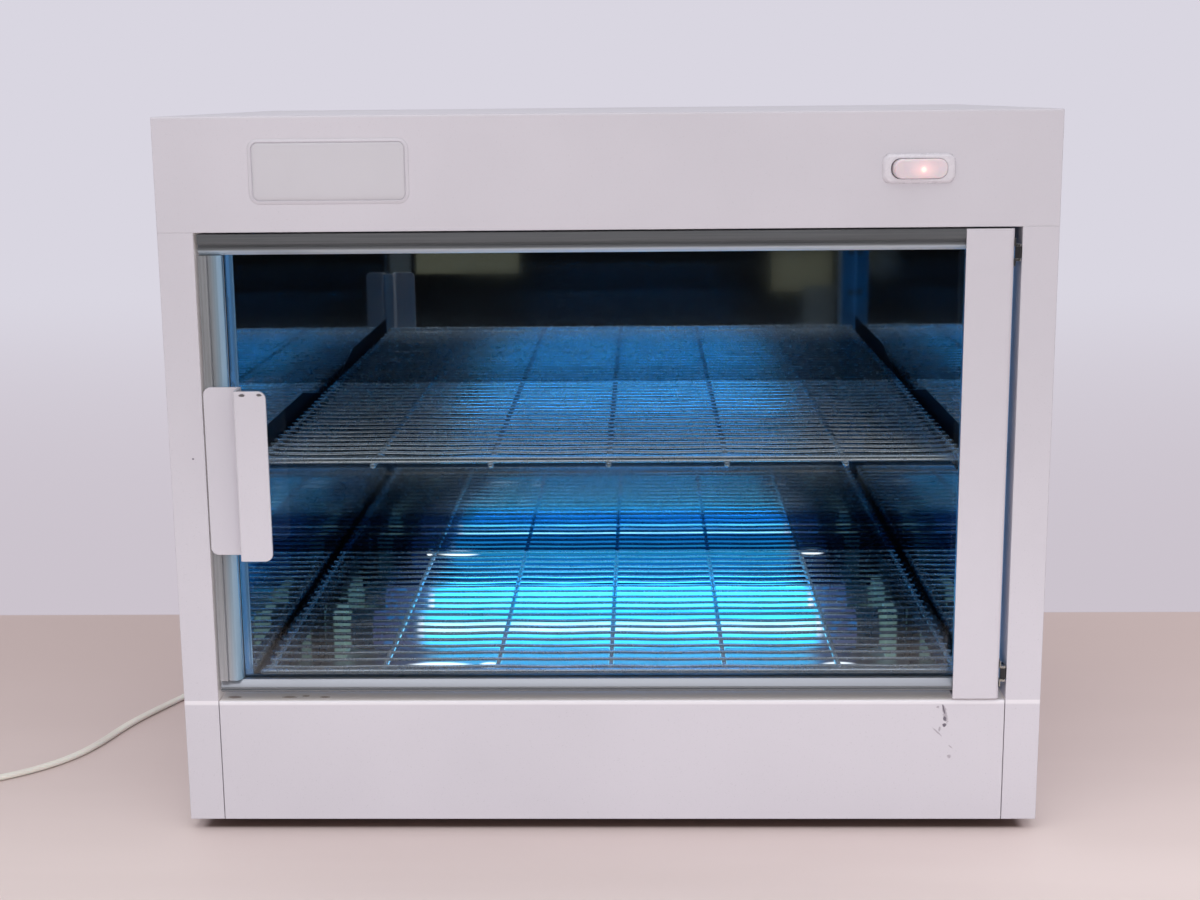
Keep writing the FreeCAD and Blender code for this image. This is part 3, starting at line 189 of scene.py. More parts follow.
def addNode(tree, kind, sockets, **settings):
    made = tree.nodes.new("ShaderNode" + kind)
    for key, value in settings.items():
        setattr(made, key, value)
    for socket, value in sockets.items():
        fill(made.inputs[socket], value)
    return made


def axes(place):
    return addNode(place.id_data, "SeparateXYZ", {0: place}).outputs


def calc(operation, first, second=0):
    return addNode(first.id_data, "Math", {0: first, 1: second}, operation=operation).outputs[0]


def times(first, *others):
    for other in others:
        first = calc("MULTIPLY", first, other)
    return first


def largest(first, *others):
    for other in others:
        first = calc("MAXIMUM", first, other)
    return first


# How far a value is from a middle.
def off(value, middle=0):
    return calc("ABSOLUTE", calc("SUBTRACT", value, middle))


# A smooth step of a value, from start at low to end at high.
def fade(value, low, high, start=0, end=1):
    sockets = {"Value": value, "From Min": low, "From Max": high, "To Min": start, "To Max": end}
    return addNode(value.id_data, "MapRange", sockets, interpolation_type="SMOOTHSTEP").outputs["Result"]


# The same step between two places in millimetres.
def fadeAt(value, edges, ends=(0, 1)):
    return fade(value, edges[0] * mm, edges[1] * mm, *ends)


# 1 near a place in millimetres and 0 away from it, between an outer and an inner distance.
def near(value, middle, edges):
    return fadeAt(off(value, middle * mm), edges)


# Noise with features about 1 / scale metres wide, longer along an axis whose stretch is small.
def grain(place, scale, stretch=None, detail=3):
    tree = place.id_data
    if stretch:
        place = addNode(tree, "Mapping", {"Vector": place, "Scale": stretch}).outputs[0]
    return addNode(tree, "TexNoise", {"Vector": place, "Scale": scale, "Detail": detail}).outputs["Fac"]


def blend(factor, first, second):
    colours = {socket: (*colour, 1) if isinstance(colour, tuple) else colour
               for socket, colour in ((6, first), (7, second))}
    return addNode(factor.id_data, "Mix", {0: factor, **colours}, data_type="RGBA").outputs[2]


# A colour times a plain amount, and times one that varies over the surface.
def shade(colour, amount):
    return tuple(min(1, part * amount) for part in colour)


def scaled(colour, amount):
    sockets = {0: colour, "Scale": amount}
    return addNode(amount.id_data, "VectorMath", sockets, operation="SCALE").outputs[0]


# Two shades of a colour, mixed by a value.
def mottled(value, colour, dark, light):
    return blend(value, shade(colour, dark), shade(colour, light))


# Soft clouds of about 1 / scale metres, from 0 to 1.
def clouds(place, scale, stretch=None, low=0.35, high=0.65):
    return fade(grain(place, scale, stretch), low, high)


# Bumps one over another, each (height, millimetres); rounding softens the edges of folded sheet.
def setRelief(shader, *layers, rounding=0):
    tree, normal = shader.id_data, None
    if rounding:
        normal = addNode(tree, "Bevel", {"Radius": rounding * mm}, samples=4).outputs[0]
    for height, depth in layers:
        sockets = {"Height": height, "Strength": 1, "Distance": depth * mm}
        if normal is not None:
            sockets["Normal"] = normal
        normal = addNode(tree, "Bump", sockets).outputs[0]
    feed(shader, Normal=normal)


def setRoughness(shader, value, low, high):
    feed(shader, Roughness=fade(value, 0.3, 0.7, low, high))


# The skin of most materials: a colour, roughness by noise as (scale, low, high, stretch) and bumps by noise as
# (scale, depth, stretch).
def skin(shader, place, tone, sheen, bump, rounding=0):
    feed(shader, Base_Color=tone)
    setRoughness(shader, grain(place, sheen[0], *sheen[3:]), *sheen[1:3])
    setRelief(shader, (grain(place, bump[0], *bump[2:]), bump[1]), rounding=rounding)


# 1 inside an ellipsoid, 0 outside, soft between; its edge is broken up by a fine noise.
def mark(place, centre, size, turn=0, ragged=0, soft=0.4):
    tree = place.id_data
    local = addNode(tree, "Mapping", {
        "Vector": place, "Location": [c * mm for c in centre], "Scale": [s * mm for s in size],
        "Rotation": (0, math.radians(turn), 0)}, vector_type="TEXTURE").outputs[0]
    reach = addNode(tree, "VectorMath", {0: local}, operation="LENGTH").outputs["Value"]
    if ragged:
        reach = calc("ADD", reach, times(grain(place, 1800), ragged))
    return fade(reach, 1.0 + ragged / 2, 1.0 - soft + ragged / 2)


# Camera

view = {"place": (18.158, -1054.82, 394.187), "turn": 1.397, "tilt": 78.592, "roll": -0.559, "lens": 53.197}
cameraData = bpy.data.cameras.new("view")
cameraData.lens = view["lens"]
cameraData.sensor_width = 36
cameraData.clip_start = 0.05
camera = addObject("view", cameraData)
stance = Matrix.Translation(Vector(view["place"]) * mm)
for angle, axis in (("turn", "Z"), ("tilt", "X"), ("roll", "Z")):
    stance = stance @ Matrix.Rotation(math.radians(view[angle]), 4, axis)
camera.matrix_world = stance
bpy.context.scene.camera = camera
bpy.context.scene.view_settings.view_transform = "Standard"

# Room: a pale floor, a wall colour behind it, soft light, and a dark far side that polished steel shows

room = {
    # the floor is darker towards the wall; across it, painted shade to the left and painted light to the right
    "floorNear": (0.92, 0.8, 0.785), "floorFar": (0.575, 0.448, 0.43), "floorSpan": (-500, 250),
    "sides": (-450, 400), "paintedSideLight": (0.92, 1.08), "half": 6000,
    "wallFoot": 261, "wallSoft": 1.5, "wallTop": 2600,
    "wallLow": (0.597, 0.546, 0.61), "wallHigh": (0.694, 0.672, 0.753),
    "skyLight": 0.775, "dark": (0.0045, 0.004, 0.0038), "darkSpan": (-390, -530),
    # how far round to the front and how far down the dark side starts, as parts of a direction
    "darkFront": (-0.1, -0.3), "darkTop": (0.78, 0.55),
    # a painted shadow on the floor beneath the cabinet: half width, front, back
    "under": (226, -146.5, 150), "paintedUnderShadow": (0.2, 0.13, 0.11),
    "beige": (0.115, 0.105, 0.072), "grey": (0.045, 0.05, 0.055),
    # patches of the far side: middle and half size, as slopes across and up
    "patches": (((-0.098, -0.0935), (0.029, 0.0065), "beige"), ((0.09, -0.0995), (0.017, 0.0115), "beige"),
                ((0.1, -0.12), (0.009, 0.012), "grey"), ((-0.136, -0.0955), (0.006, 0.0085), "grey")),
    # lights: place, aim, size, watts, and whether mirrors show it
    "lights": {"ceilingLight": ((-150, -640, 1900), (0, 0, 200), (1600, 1600), 9, True),
               "frontFill": ((0, -1900, 260), (0, 0, 100), (1400, 440), 8.4, False)},
}


# Mirrors and the door glass look past the floor's far front to the dark side of the room.
def mirrored(path):
    return largest(path["Is Glossy Ray"], path["Is Transmission Ray"])


def mixed(tree, factor, first, second):
    return addNode(tree, "MixShader", {0: factor, 1: first, 2: second}).outputs[0]


# A square of side 2 * half, painted as floor in front and as wall behind the wall's foot.
def makeFloor():
    material, shader, place = startMaterial("floorBoard", room["floorNear"], 0.55)
    tree = material.node_tree
    x, y, _ = axes(place)
    foot, soft = room["wallFoot"], room["wallSoft"]
    behind = fadeAt(y, (foot - soft, foot + soft))
    board = blend(fadeAt(y, room["floorSpan"]), room["floorNear"], room["floorFar"])
    veil = fade(grain(place, 16, (0.15, 1, 1)), 0.3, 0.7, 0, 0.1)
    board = blend(veil, board, shade(room["floorFar"], 0.92))
    # painted shade to the left and painted light to the right across the floor
    board = scaled(board, fadeAt(x, room["sides"], room["paintedSideLight"]))
    # a painted shadow beneath the cabinet
    half, front, back = room["under"]
    under = times(fadeAt(y, (front, front + 4)), fadeAt(y, (back, back - 10)), near(x, 0, (half, half - 6)))
    board = blend(under, board, room["paintedUnderShadow"])
    feed(shader, Base_Color=blend(behind, board, room["wallLow"]))
    setRelief(shader, (grain(place, 60, (0.1, 1, 1)), 0.03))
    tone = blend(fadeAt(y, (foot, room["wallTop"])), room["wallLow"], room["wallHigh"])
    wall = addNode(tree, "Emission", {"Color": tone}).outputs[0]
    path = addNode(tree, "LightPath", {}).outputs
    covered = mixed(tree, times(path["Is Camera Ray"], behind), shader.outputs[0], wall)
    clear = addNode(tree, "BsdfTransparent", {}).outputs[0]
    covered = mixed(tree, times(mirrored(path), fadeAt(y, room["darkSpan"])), covered, clear)
    feed(tree.nodes["Material Output"], Surface=covered)
    half = room["half"] * mm
    mesh = bpy.data.meshes.new("floor")
    mesh.from_pydata([(-half, -half, 0), (half, -half, 0), (half, half, 0), (-half, half, 0)], [], [(0, 1, 2, 3)])
    mesh.materials.append(material)
    addObject("floor", mesh)


# Even light for matt surfaces; the camera and mirrors see a pale room with its dark side in front.
def makeSky():
    world = bpy.data.worlds.new("room")
    bpy.context.scene.world = world
    world.use_nodes = True
    tree = world.node_tree
    even = tree.nodes["Background"]
    feed(even, Color=(1, 1, 1, 1), Strength=room["skyLight"])
    x, y, z = axes(addNode(tree, "TexCoord", {}).outputs["Generated"])
    depth = largest(off(y), 0.001)
    slopes = calc("DIVIDE", x, depth), calc("DIVIDE", z, depth)
    seen = room["dark"]
    for middle, half, tone in room["patches"]:
        inside = [calc("LESS_THAN", off(slope, m), h) for slope, m, h in zip(slopes, middle, half)]
        seen = blend(times(*inside), seen, room[tone])
    farSide = times(fade(y, *room["darkFront"]), fade(z, *room["darkTop"]))
    path = addNode(tree, "LightPath", {}).outputs
    seen = blend(times(farSide, mirrored(path)), room["wallHigh"], seen)
    picture = addNode(tree, "Background", {"Color": seen, "Strength": 1}).outputs[0]
    direct = largest(path["Is Camera Ray"], mirrored(path))
    feed(tree.nodes["World Output"], Surface=mixed(tree, direct, even.outputs[0], picture))


# A rectangle of light that the camera and the door glass don't show; seen says whether mirrors do.
def areaLight(name, place, aim, size, power, seen=True, colour=(1, 1, 1)):
    data = bpy.data.lights.new(name, "AREA")
    data.shape, data.size, data.size_y = "RECTANGLE", size[0] * mm, size[1] * mm
    data.energy, data.color = power, colour
    light = addObject(name, data)
    start = Vector(place) * mm
    away = Vector(aim) * mm - start
    light.matrix_world = Matrix.Translation(start) @ away.to_track_quat("-Z", "Y").to_matrix().to_4x4()
    light.visible_glossy, light.visible_transmission, light.visible_camera = seen, False, False


makeFloor()
makeSky()
for name, light in room["lights"].items():
    areaLight(name, *light)
print("camera, floor and light placed")

# Painted sheet: an off-white lavender powder coat with a fine orange peel, dust and a few knocks

paint = {
    # the colour is painted lighter near the bottom and darker near the top, between two heights: painted light and
    # painted shade
    "colour": (0.605, 0.58, 0.64), "tall": (50, 340), "paintedShadeByHeight": (1.035, 0.91), "tint": 0.03, "dust": 0.35,
    "roughness": (0.34, 0.46), "peel": 420, "peelDepth": 0.016, "rounding": 0.7,
    "scuff": (0.15, 0.13, 0.17), "rub": (0.42, 0.385, 0.44), "dirt": (0.2, 0.13, 0.1), "chip": (0.1, 0.09, 0.1),
    # inside the doorway the paint is painted lighter and glows faintly, painted light for the chamber's light on it:
    # colours, share and strength
    "paintedLight": (0.86, 0.82, 0.81), "paintedLightShare": 0.8, "paintedGlow": (1, 0.88, 0.84), "paintedGlowPower": 0.09,
    # the recess under the door, the jamb by the handle and the doorway: (middle, (outer, inner)) or (from, to)
    "recessHeight": (73.6, (0.8, 0.4)), "recessDepth": (-147.2, -146.6),
    "jambPlace": (-211.5, (0.6, 0.3)), "jambDepth": (-147.4, -146.6), "jambHeight": (200, (128, 126)),
    "doorwayWidth": (0, (212.5, 211.9)), "doorwayDepth": (-110, -120),
    # a painted highlight along the rounded top edge of the lower panel
    "bendHighlight": (0.8, 0.775, 0.83), "bendHeight": (70.8, 72.2), "bendTop": 73.8, "bendDepth": (-146, -147),
    # centre, size, turn, raggedness
    "scuffs": (((178.8, -147.5, 68.3), (0.55, 3, 3.4), -15, 0.9), ((179.5, -147.5, 63.1), (1, 3, 1.9), -8, 1.1),
               ((179.4, -147.5, 59.6), (1.3, 3, 1.2), 20, 1.1), ((-217.9, -147.5, 207.3), (0.7, 3, 0.6), 0, 0.4),
               ((-207.8, -147.1, 87.3), (0.7, 3, 0.7), 0, 0.4)),
    "rubs": (((175.6, -147.5, 69.8), (0.9, 3, 0.8), 0, 1), ((175.5, -147.5, 55.8), (0.5, 3, 4), -46, 0.9),
             ((176.9, -147.5, 57.3), (0.7, 3, 1.6), 10, 1), ((183, -147.5, 47.3), (0.4, 3, 1.7), -50, 0.8),
             ((182.4, -147.5, 41.8), (1.3, 3, 1.2), 0, 1.3), ((179.6, -147.5, 66), (1.3, 3, 6), -14, 1.6)),
    "dirts": (((-204.1, -140.7, 73.6), (4.5, 2.2, 1), 0, 1), ((-174, -140.8, 73.6), (5, 1.8, 1), 0, 1),
              ((-165.5, -139.2, 73.6), (2.5, 1.4, 1), 0, 0.8), ((-154.9, -140.9, 73.6), (3.4, 1.6, 1), 0, 1)),
    "chips": (((-187.1, -162.5, 243.5), (2, 2, 1), 0, 0.6), ((-178.2, -162.5, 243.6), (1.6, 2, 0.9), 0, 0.6)),
}


def paintedSheet():
    material, shader, place = startMaterial("lavenderPowderCoat", paint["colour"], 0.4, faint=True, IOR=1.46)
    x, y, z = axes(place)
    cloud = fade(grain(place, 5), 0.35, 0.65, 1 - paint["tint"], 1 + paint["tint"])
    # painted light low down and painted shade high up
    colour = scaled(paint["colour"], times(cloud, fadeAt(z, paint["tall"], paint["paintedShadeByHeight"])))
    dust = fade(grain(place, 1400, detail=1), 0.66, 0.78, 0, paint["dust"])
    colour = blend(dust, colour, shade(paint["colour"], 0.72))
    recess = times(near(z, *paint["recessHeight"]), fadeAt(y, paint["recessDepth"]))
    jamb = times(near(x, *paint["jambPlace"]), fadeAt(y, paint["jambDepth"]), near(z, *paint["jambHeight"]))
    doorway = times(fadeAt(y, paint["doorwayDepth"]), near(x, *paint["doorwayWidth"]))
    # painted light in the recess and on the jamb inside the doorway: lighter paint and a faint glow
    inside = times(largest(recess, jamb), doorway)
    colour = blend(times(inside, paint["paintedLightShare"]), colour, paint["paintedLight"])
    for kind in ("rub", "scuff", "dirt", "chip"):
        masks = [mark(place, *spot) for spot in paint[kind + "s"]]
        colour = blend(largest(*masks), colour, paint[kind])
    bendHighlight = times(fadeAt(z, paint["bendHeight"]), fadeAt(y, paint["bendDepth"]),
                 calc("LESS_THAN", z, paint["bendTop"] * mm))
    feed(shader, Base_Color=blend(bendHighlight, colour, paint["bendHighlight"]), Emission_Color=(*paint["paintedGlow"], 1),
         Emission_Strength=times(inside, paint["paintedGlowPower"]))
    setRoughness(shader, grain(place, 60), *paint["roughness"])
    setRelief(shader, (grain(place, paint["peel"], detail=2), paint["peelDepth"]), rounding=paint["rounding"])
    return material


# Metals: polished liner, dark rails, chromed wire, zinc, aluminium and brass

metals = {
    "liner": (0.52, 0.57, 0.61), "linerBody": 0.99, "ledge": 0.42, "rail": (0.05, 0.058, 0.07),
    # the lamps' light on the flanges beside the glass: colour, half width and depth where it starts
    "flange": (0.045, 0.105, 0.2), "flangeWidth": (195.5, 195.8), "flangeDepth": (-127, -128.5),
    # the room's light on the wires by the door, and the lamps' on those over them: colours, reaches and strengths
    "wire": (0.7, 0.79, 0.86), "wireSheen": (0.8, 0.9, 1), "sheenReach": (-30, -124), "sheenPower": (0, 0.05),
    "lampSheen": (0.03, 0.42, 0.9), "lampWidth": (0, (150, 105)), "lampHeight": (95, 85), "lampDepth": (-90, 0),
    "lampShare": (0.2, 1), "lampPower": 0.15,
    "zinc": (0.56, 0.56, 0.54), "zincBloom": (0.5, 0.5, 0.42), "rails": (0.27, 0.28, 0.3),
    "stiles": (0.58, 0.6, 0.64), "sill": (0.365, 0.385, 0.42),
    "stileLipLampLight": (0.42, 0.66, 0.86), "railLipHighlight": (0.72, 0.8, 0.87), "tray": (0.36, 0.42, 0.48),
    "cap": (0.62, 0.61, 0.58), "brass": (0.72, 0.52, 0.22),
    # the back wall's foot: darker and bluer below a height, but for thin lines at the mirror's own tone (height, half
    # width)
    "foot": {"span": (112, 104), "colour": (0.07, 0.17, 0.3), "lines": ((98.6, 1.1), (93.6, 0.9))},
    # a dull dark strip on the side walls over the rails: from, to, colour and roughness
    "strip": {"span": (196, 211), "fall": 0.17, "fallFrom": 45, "soft": 1.2, "haze": 0.7,
              "colour": (0.016, 0.012, 0.022)},
    # glints of the ceiling light on the tray and on the back wall: middle and half size
    "trayGlints": (((-108.5, -3, 46), (24, 8, 5)), ((-77.5, -3, 46), (8, 8, 5)), ((139, -3, 46), (13, 7, 5))),
    "wallGlints": (((-110.5, 144.5, 79), (17, 5, 2.4)), ((-131, 144.5, 79), (2.4, 5, 2.2)),
                   ((135.5, 144.5, 79), (10, 5, 2.2))),
    "glint": (0.88, 0.95, 1), "glintPower": 1.5,
}


# Rolled and polished sheet: a mirror with a faint haze, wiping marks and the rolling's long waves.
def polishedSteel(name="polishedLinerSteel", amount=1, foot=None, strip=None):
    liner = shade(metals["liner"], amount)
    material, shader, place = startMaterial(name, liner, 0.06, metals["linerBody"], faint=True)
    tone = mottled(clouds(place, 9, (1, 1, 0.35)), liner, 0.93, 1.05)
    x, y, z = axes(place)
    haze = fade(grain(place, 24, (0.5, 0.5, 1)), 0.3, 0.7, 0.02, 0.05)
    if strip:  # its top edge falls away towards the back
        low, high = strip["span"]
        behind = largest(calc("SUBTRACT", y, strip["fallFrom"] * mm), 0)
        lifted = calc("ADD", z, times(behind, strip["fall"]))
        inside = times(fadeAt(z, (low, low + strip["soft"])), fadeAt(lifted, (high, high - strip["soft"])))
        tone = blend(inside, tone, strip["colour"])
        haze = largest(haze, times(inside, strip["haze"]))
        flange = times(fadeAt(off(x), metals["flangeWidth"]), fadeAt(y, metals["flangeDepth"]))
        feed(shader, Emission_Color=(*metals["flange"], 1), Emission_Strength=flange)
    if foot:
        dull = fadeAt(z, foot["span"])
        for height, half in foot["lines"]:
            dull = calc("MINIMUM", dull, fadeAt(off(z, height * mm), (0.5 * half, half)))
        tone = blend(dull, tone, foot["colour"])
        setGlints(shader, place, metals["wallGlints"])
    feed(shader, Base_Color=tone, Roughness=haze)
    setRelief(shader, (grain(place, 5, detail=1), 0.1), (grain(place, 1200, (1, 1, 0.02)), 0.0004))
    return material


# Short bright streaks painted as a glow: painted reflections of the ceiling's light on the sheet.
def setGlints(shader, place, spots):
    bright = largest(*[mark(place, *spot, soft=0.5) for spot in spots])
    feed(shader, Emission_Color=(*metals["glint"], 1), Emission_Strength=times(bright, metals["glintPower"]))


def darkSteel():
    material, shader, place = startMaterial("darkRailSteel", metals["rail"], 0.3, 0.9)
    tone = mottled(grain(place, 40, (1, 0.1, 1)), metals["rail"], 0.7, 1.4)
    skin(shader, place, tone, (150, 0.22, 0.4, (1, 0.1, 1)), (700, 0.01, (1, 0.05, 1)), 0.3)
    return material


def chromedWire():
    material, shader, place = startMaterial("chromedWire", metals["wire"], 0.22, 0.92, faint=True)
    x, y, z = axes(place)
    byDoor = fadeAt(y, metals["sheenReach"], metals["sheenPower"])
    overLamps = times(near(x, *metals["lampWidth"]), fadeAt(z, metals["lampHeight"]),
                      fadeAt(y, metals["lampDepth"], metals["lampShare"]))
    feed(shader, Emission_Color=blend(overLamps, metals["wireSheen"], metals["lampSheen"]),
         Emission_Strength=largest(byDoor, times(overLamps, metals["lampPower"])))
    tone = mottled(clouds(place, 90, high=0.7), metals["wire"], 0.85, 1)
    skin(shader, place, tone, (260, 0.16, 0.3), (300, 0.004))
    return material


def zincPlate():
    material, shader, place = startMaterial("zincPlate", metals["zinc"], 0.34, 1)
    tone = blend(clouds(place, 700, low=0.4, high=0.7), metals["zinc"], metals["zincBloom"])
    skin(shader, place, tone, (1100, 0.24, 0.44), (2600, 0.01), 0.25)
    return material


# Anodised bar with drawing lines along it; stretch is small along the bar. The lip is (axis, from, to, colour), a band
# painted in another colour: painted light on the top rail and the stile, and on the bottom rail its own tone above a
# part painted darker as painted shade.
def anodisedBar(name, colour, stretch, lip):
    material, shader, place = startMaterial(name, colour, 0.36, 0.7)
    lines = grain(place, 1500, stretch, 2)
    axis, start, end, tint = lip
    tone = mottled(fade(lines, 0.3, 0.7), colour, 0.88, 1.06)
    feed(shader, Base_Color=blend(fadeAt(axes(place)[axis], (start, end)), tone, tint))
    setRoughness(shader, grain(place, 120, stretch), 0.3, 0.42)
    setRelief(shader, (lines, 0.006))
    return material


def turnedMetal(name, colour, roughness, metallic=1, glints=()):
    material, shader, place = startMaterial(name, colour, roughness, metallic, faint=True)
    sheen = (900, roughness - 0.08, roughness + 0.08)
    skin(shader, place, mottled(grain(place, 500), colour, 0.85, 1.08), sheen, (2200, 0.006, (0.05, 1, 1)), 0.2)
    if glints:
        setGlints(shader, place, glints)
    return material


# Mouldings: a satin or glossy skin with a little flow mark and dust

def moulding(name, colour, roughness, peelDepth=0.012, gloss=0, cloudy=0.055, spread=0.06):
    material, shader, place = startMaterial(name, colour, roughness, Coat_Weight=gloss, Coat_Roughness=0.05)
    tone = mottled(clouds(place, 35), colour, 1 - cloudy, 1 + cloudy)
    skin(shader, place, tone, (300, roughness - spread, roughness + spread), (1300, peelDepth), 0.3)
    return material


# Pale green lamp holders with a painted glow, stronger towards the front, for the lamps' light on them; their outer
# part is painted near black as painted shade.
holder = {"colour": (0.3, 0.47, 0.43), "leaf": (0.02, 0.03, 0.035), "leafFrom": (175, 176.5),
          "glow": (0.1, 0.34), "glowDepth": (110, -5)}


def holderPlastic():
    material, shader, place = startMaterial("holderPlastic", holder["colour"], 0.38, faint=True)
    x, y, _ = axes(place)
    tone = mottled(clouds(place, 70), holder["colour"], 0.9, 1.08)
    tone = blend(fadeAt(off(x), holder["leafFrom"]), tone, holder["leaf"])
    feed(shader, Emission_Color=tone, Emission_Strength=fadeAt(y, holder["glowDepth"], holder["glow"]))
    skin(shader, place, tone, (300, 0.3, 0.46), (1300, 0.012), 0.3)
    return material


def paneGlass():
    material, shader, place = startMaterial("doorPane", (0.93, 0.975, 0.98), 0, IOR=1.5, Transmission_Weight=1)
    film = clouds(place, 12, (1, 1, 0.4), high=0.75)
    feed(shader, Base_Color=blend(film, (0.95, 0.985, 0.985), (0.9, 0.96, 0.965)))
    setRelief(shader, (grain(place, 3, detail=1), 0.02))
    return material


# Lamp glass: cyan over the arc, whiter along the top of the front lamp, a bright spot where the arc ends,
# and violet beyond it.
lamp = {
    "middle": 3.5, "reach": (131, 119), "strength": (0.3, 1.9), "spot": (124.5, (3, 0.9)),
    "coreHeight": 66.5, "coreHalf": (8, 1), "hotHalf": (5, 1), "hotDepth": (50, 48),
    "core": (0.09, 0.74, 0.93), "side": (0.035, 0.5, 0.9), "hot": (0.46, 0.93, 1), "spotColour": (0.75, 0.85, 1),
    "edge": (0.13, 0.15, 0.36), "vein": (0.06, 0.34, 0.95), "glass": (0.16, 0.2, 0.26),
}


def lampGlass():
    material, shader, place = startMaterial("lampGlass", lamp["glass"], 0.08)
    x, y, z = axes(place)
    away = off(x, lamp["middle"] * mm)
    lift = off(z, lamp["coreHeight"] * mm)
    core = fadeAt(lift, lamp["coreHalf"])
    hot = times(fadeAt(lift, lamp["hotHalf"]), fadeAt(y, lamp["hotDepth"]))
    arc = blend(core, lamp["side"], lamp["core"])
    arc = blend(hot, arc, lamp["hot"])
    spot = times(near(away, *lamp["spot"]), core)
    beyond = blend(clouds(place, 130, low=0.48, high=0.66), lamp["edge"], lamp["vein"])
    tone = blend(fadeAt(away, lamp["reach"]), beyond, arc)
    power = largest(fadeAt(away, lamp["reach"], lamp["strength"]), spot)
    cloudy = fade(grain(place, 60), 0.3, 0.7, 0.9, 1.1)
    feed(shader, Emission_Color=blend(spot, tone, lamp["spotColour"]), Emission_Strength=times(power, cloudy))
    setRelief(shader, (grain(place, 40), 0.01))
    return material


# Tinted rocker with the neon behind it; the neon's light through it is painted on as a glowing spot and halo.
rockerTint = {"colour": (0.69, 0.6, 0.645), "spot": (1, 0.8, 0.52), "halo": (1, 0.36, 0.28),
              "strength": (0.52, 0.3), "centre": (160.1, -150.8, 354.6), "spotSize": (2.5, 4, 2.5),
              "haloSize": (9, 9, 6.5)}


def rockerLens():
    tint = rockerTint["colour"]
    material, shader, place = startMaterial("rockerLens", tint, 0.22, faint=True, Coat_Weight=0.5, Coat_Roughness=0.06,
                                            Subsurface_Weight=0.3, Subsurface_Scale=0.003)
    spot = mark(place, rockerTint["centre"], rockerTint["spotSize"], soft=1)
    halo = mark(place, rockerTint["centre"], rockerTint["haloSize"], soft=1)
    strong, weak = rockerTint["strength"]
    feed(shader, Base_Color=mottled(grain(place, 200), tint, 0.95, 1.05),
         Emission_Color=blend(spot, rockerTint["halo"], rockerTint["spot"]),
         Emission_Strength=calc("ADD", times(spot, strong), times(halo, weak)))
    setRelief(shader, (grain(place, 1300), 0.008))
    return material


def neonGlass():
    material, shader, place = startMaterial("neonGlass", (1, 0.45, 0.25), 0.1)
    glow = fade(grain(place, 500), 0.3, 0.7, 2, 3)
    feed(shader, Emission_Color=(1, 0.3, 0.08, 1), Emission_Strength=glow)
    return material


# The lead's ivory: a soft sheen, yellowed in patches and rubbed.
def ivoryPlastic():
    ivory = (0.74, 0.715, 0.655)
    material, shader, place = startMaterial("ivoryLead", ivory, 0.42, Subsurface_Weight=0.08, Subsurface_Scale=0.002)
    skin(shader, place, mottled(clouds(place, 26), ivory, 0.92, 1.04), (400, 0.34, 0.5), (1500, 0.014))
    return material


casePaint = paintedSheet()
wireChrome = chromedWire()
# the top rail's lip is a painted highlight, the stile's lip is painted blue as the lamps' painted light, and the bottom
# rail is painted darker below its top band as painted shade
barAcross = anodisedBar("anodisedRail", metals["rails"], (0.01, 1, 1), (2, 317.2, 315.8, metals["railLipHighlight"]))
barUpright = anodisedBar("anodisedStile", metals["stiles"], (1, 1, 0.01), (0, -206, -198.5, metals["stileLipLampLight"]))
barLow = anodisedBar("anodisedSill", shade(metals["sill"], 0.8), (0.01, 1, 1), (2, 80, 80.6, metals["sill"]))
sideSteel = polishedSteel("polishedSideSteel", strip=metals["strip"])
# the ledges take a darker copy of the liner steel: painted shade
shadedLedgeSteel = polishedSteel("shadedPolishedLedgeSteel", metals["ledge"])
whitePlastic = moulding("glossWhitePlastic", (0.605, 0.578, 0.63), 0.28, gloss=0.25, cloudy=0.02)
plateResin = moulding("nameplateResin", (0.53, 0.515, 0.56), 0.26, 0.003, gloss=0.3, cloudy=0.008, spread=0.012)
lens = rockerLens()
ivory = ivoryPlastic()

finishes = {
    "painted_case": casePaint, "polished_steel": polishedSteel(), "shelf_rail_steel": darkSteel(),
    "shelf_chrome": wireChrome, "screw_steel": zincPlate(),
    "hinge_black": moulding("hingeBlack", (0.022, 0.022, 0.024), 0.42),
    "frame_aluminium": barUpright, "door_pane": paneGlass(),
    "seal_rubber": moulding("sealRubber", (0.022, 0.022, 0.023), 0.62, 0.03),
    "lamp_glass": lampGlass(), "lamp_cap_metal": turnedMetal("lampCap", metals["cap"], 0.32),
    "holder_plastic": moulding("socketPlastic", (0.46, 0.54, 0.47), 0.38),
    "ballast_paint": moulding("ballastPaint", (0.055, 0.062, 0.07), 0.4),
    "switch_white": whitePlastic, "rocker_lens": lens, "neon_glass": neonGlass(),
    "contact_brass": turnedMetal("brassContact", metals["brass"], 0.26), "lead_ivory": ivory,
}
for row in frame["record"]["subparts"]:
    for place in nodes[row["node"]].material_slots:
        place.material = finishes[row["material_slot"]]
# nodes with another finish than their slot's
own = {
    "liner_back": polishedSteel("polishedBackSteel", foot=metals["foot"]), "liner_left": sideSteel,
    "liner_right": sideSteel, "ledge_left": shadedLedgeSteel, "ledge_right": shadedLedgeSteel,
    "lamp_tray": turnedMetal("lampTraySteel", metals["tray"], 0.36, 0.85, metals["trayGlints"]),
    "lamp_holders": holderPlastic(), "glass_gasket": moulding("greySeal", (0.52, 0.62, 0.72), 0.5),
}
for name, finish in own.items():
    nodes[name].material_slots[0].material = finish
print("materials on", len(nodes), "nodes")

# Mains lead: a flat twin lead from the back, along the floor, the rest wound in a coil

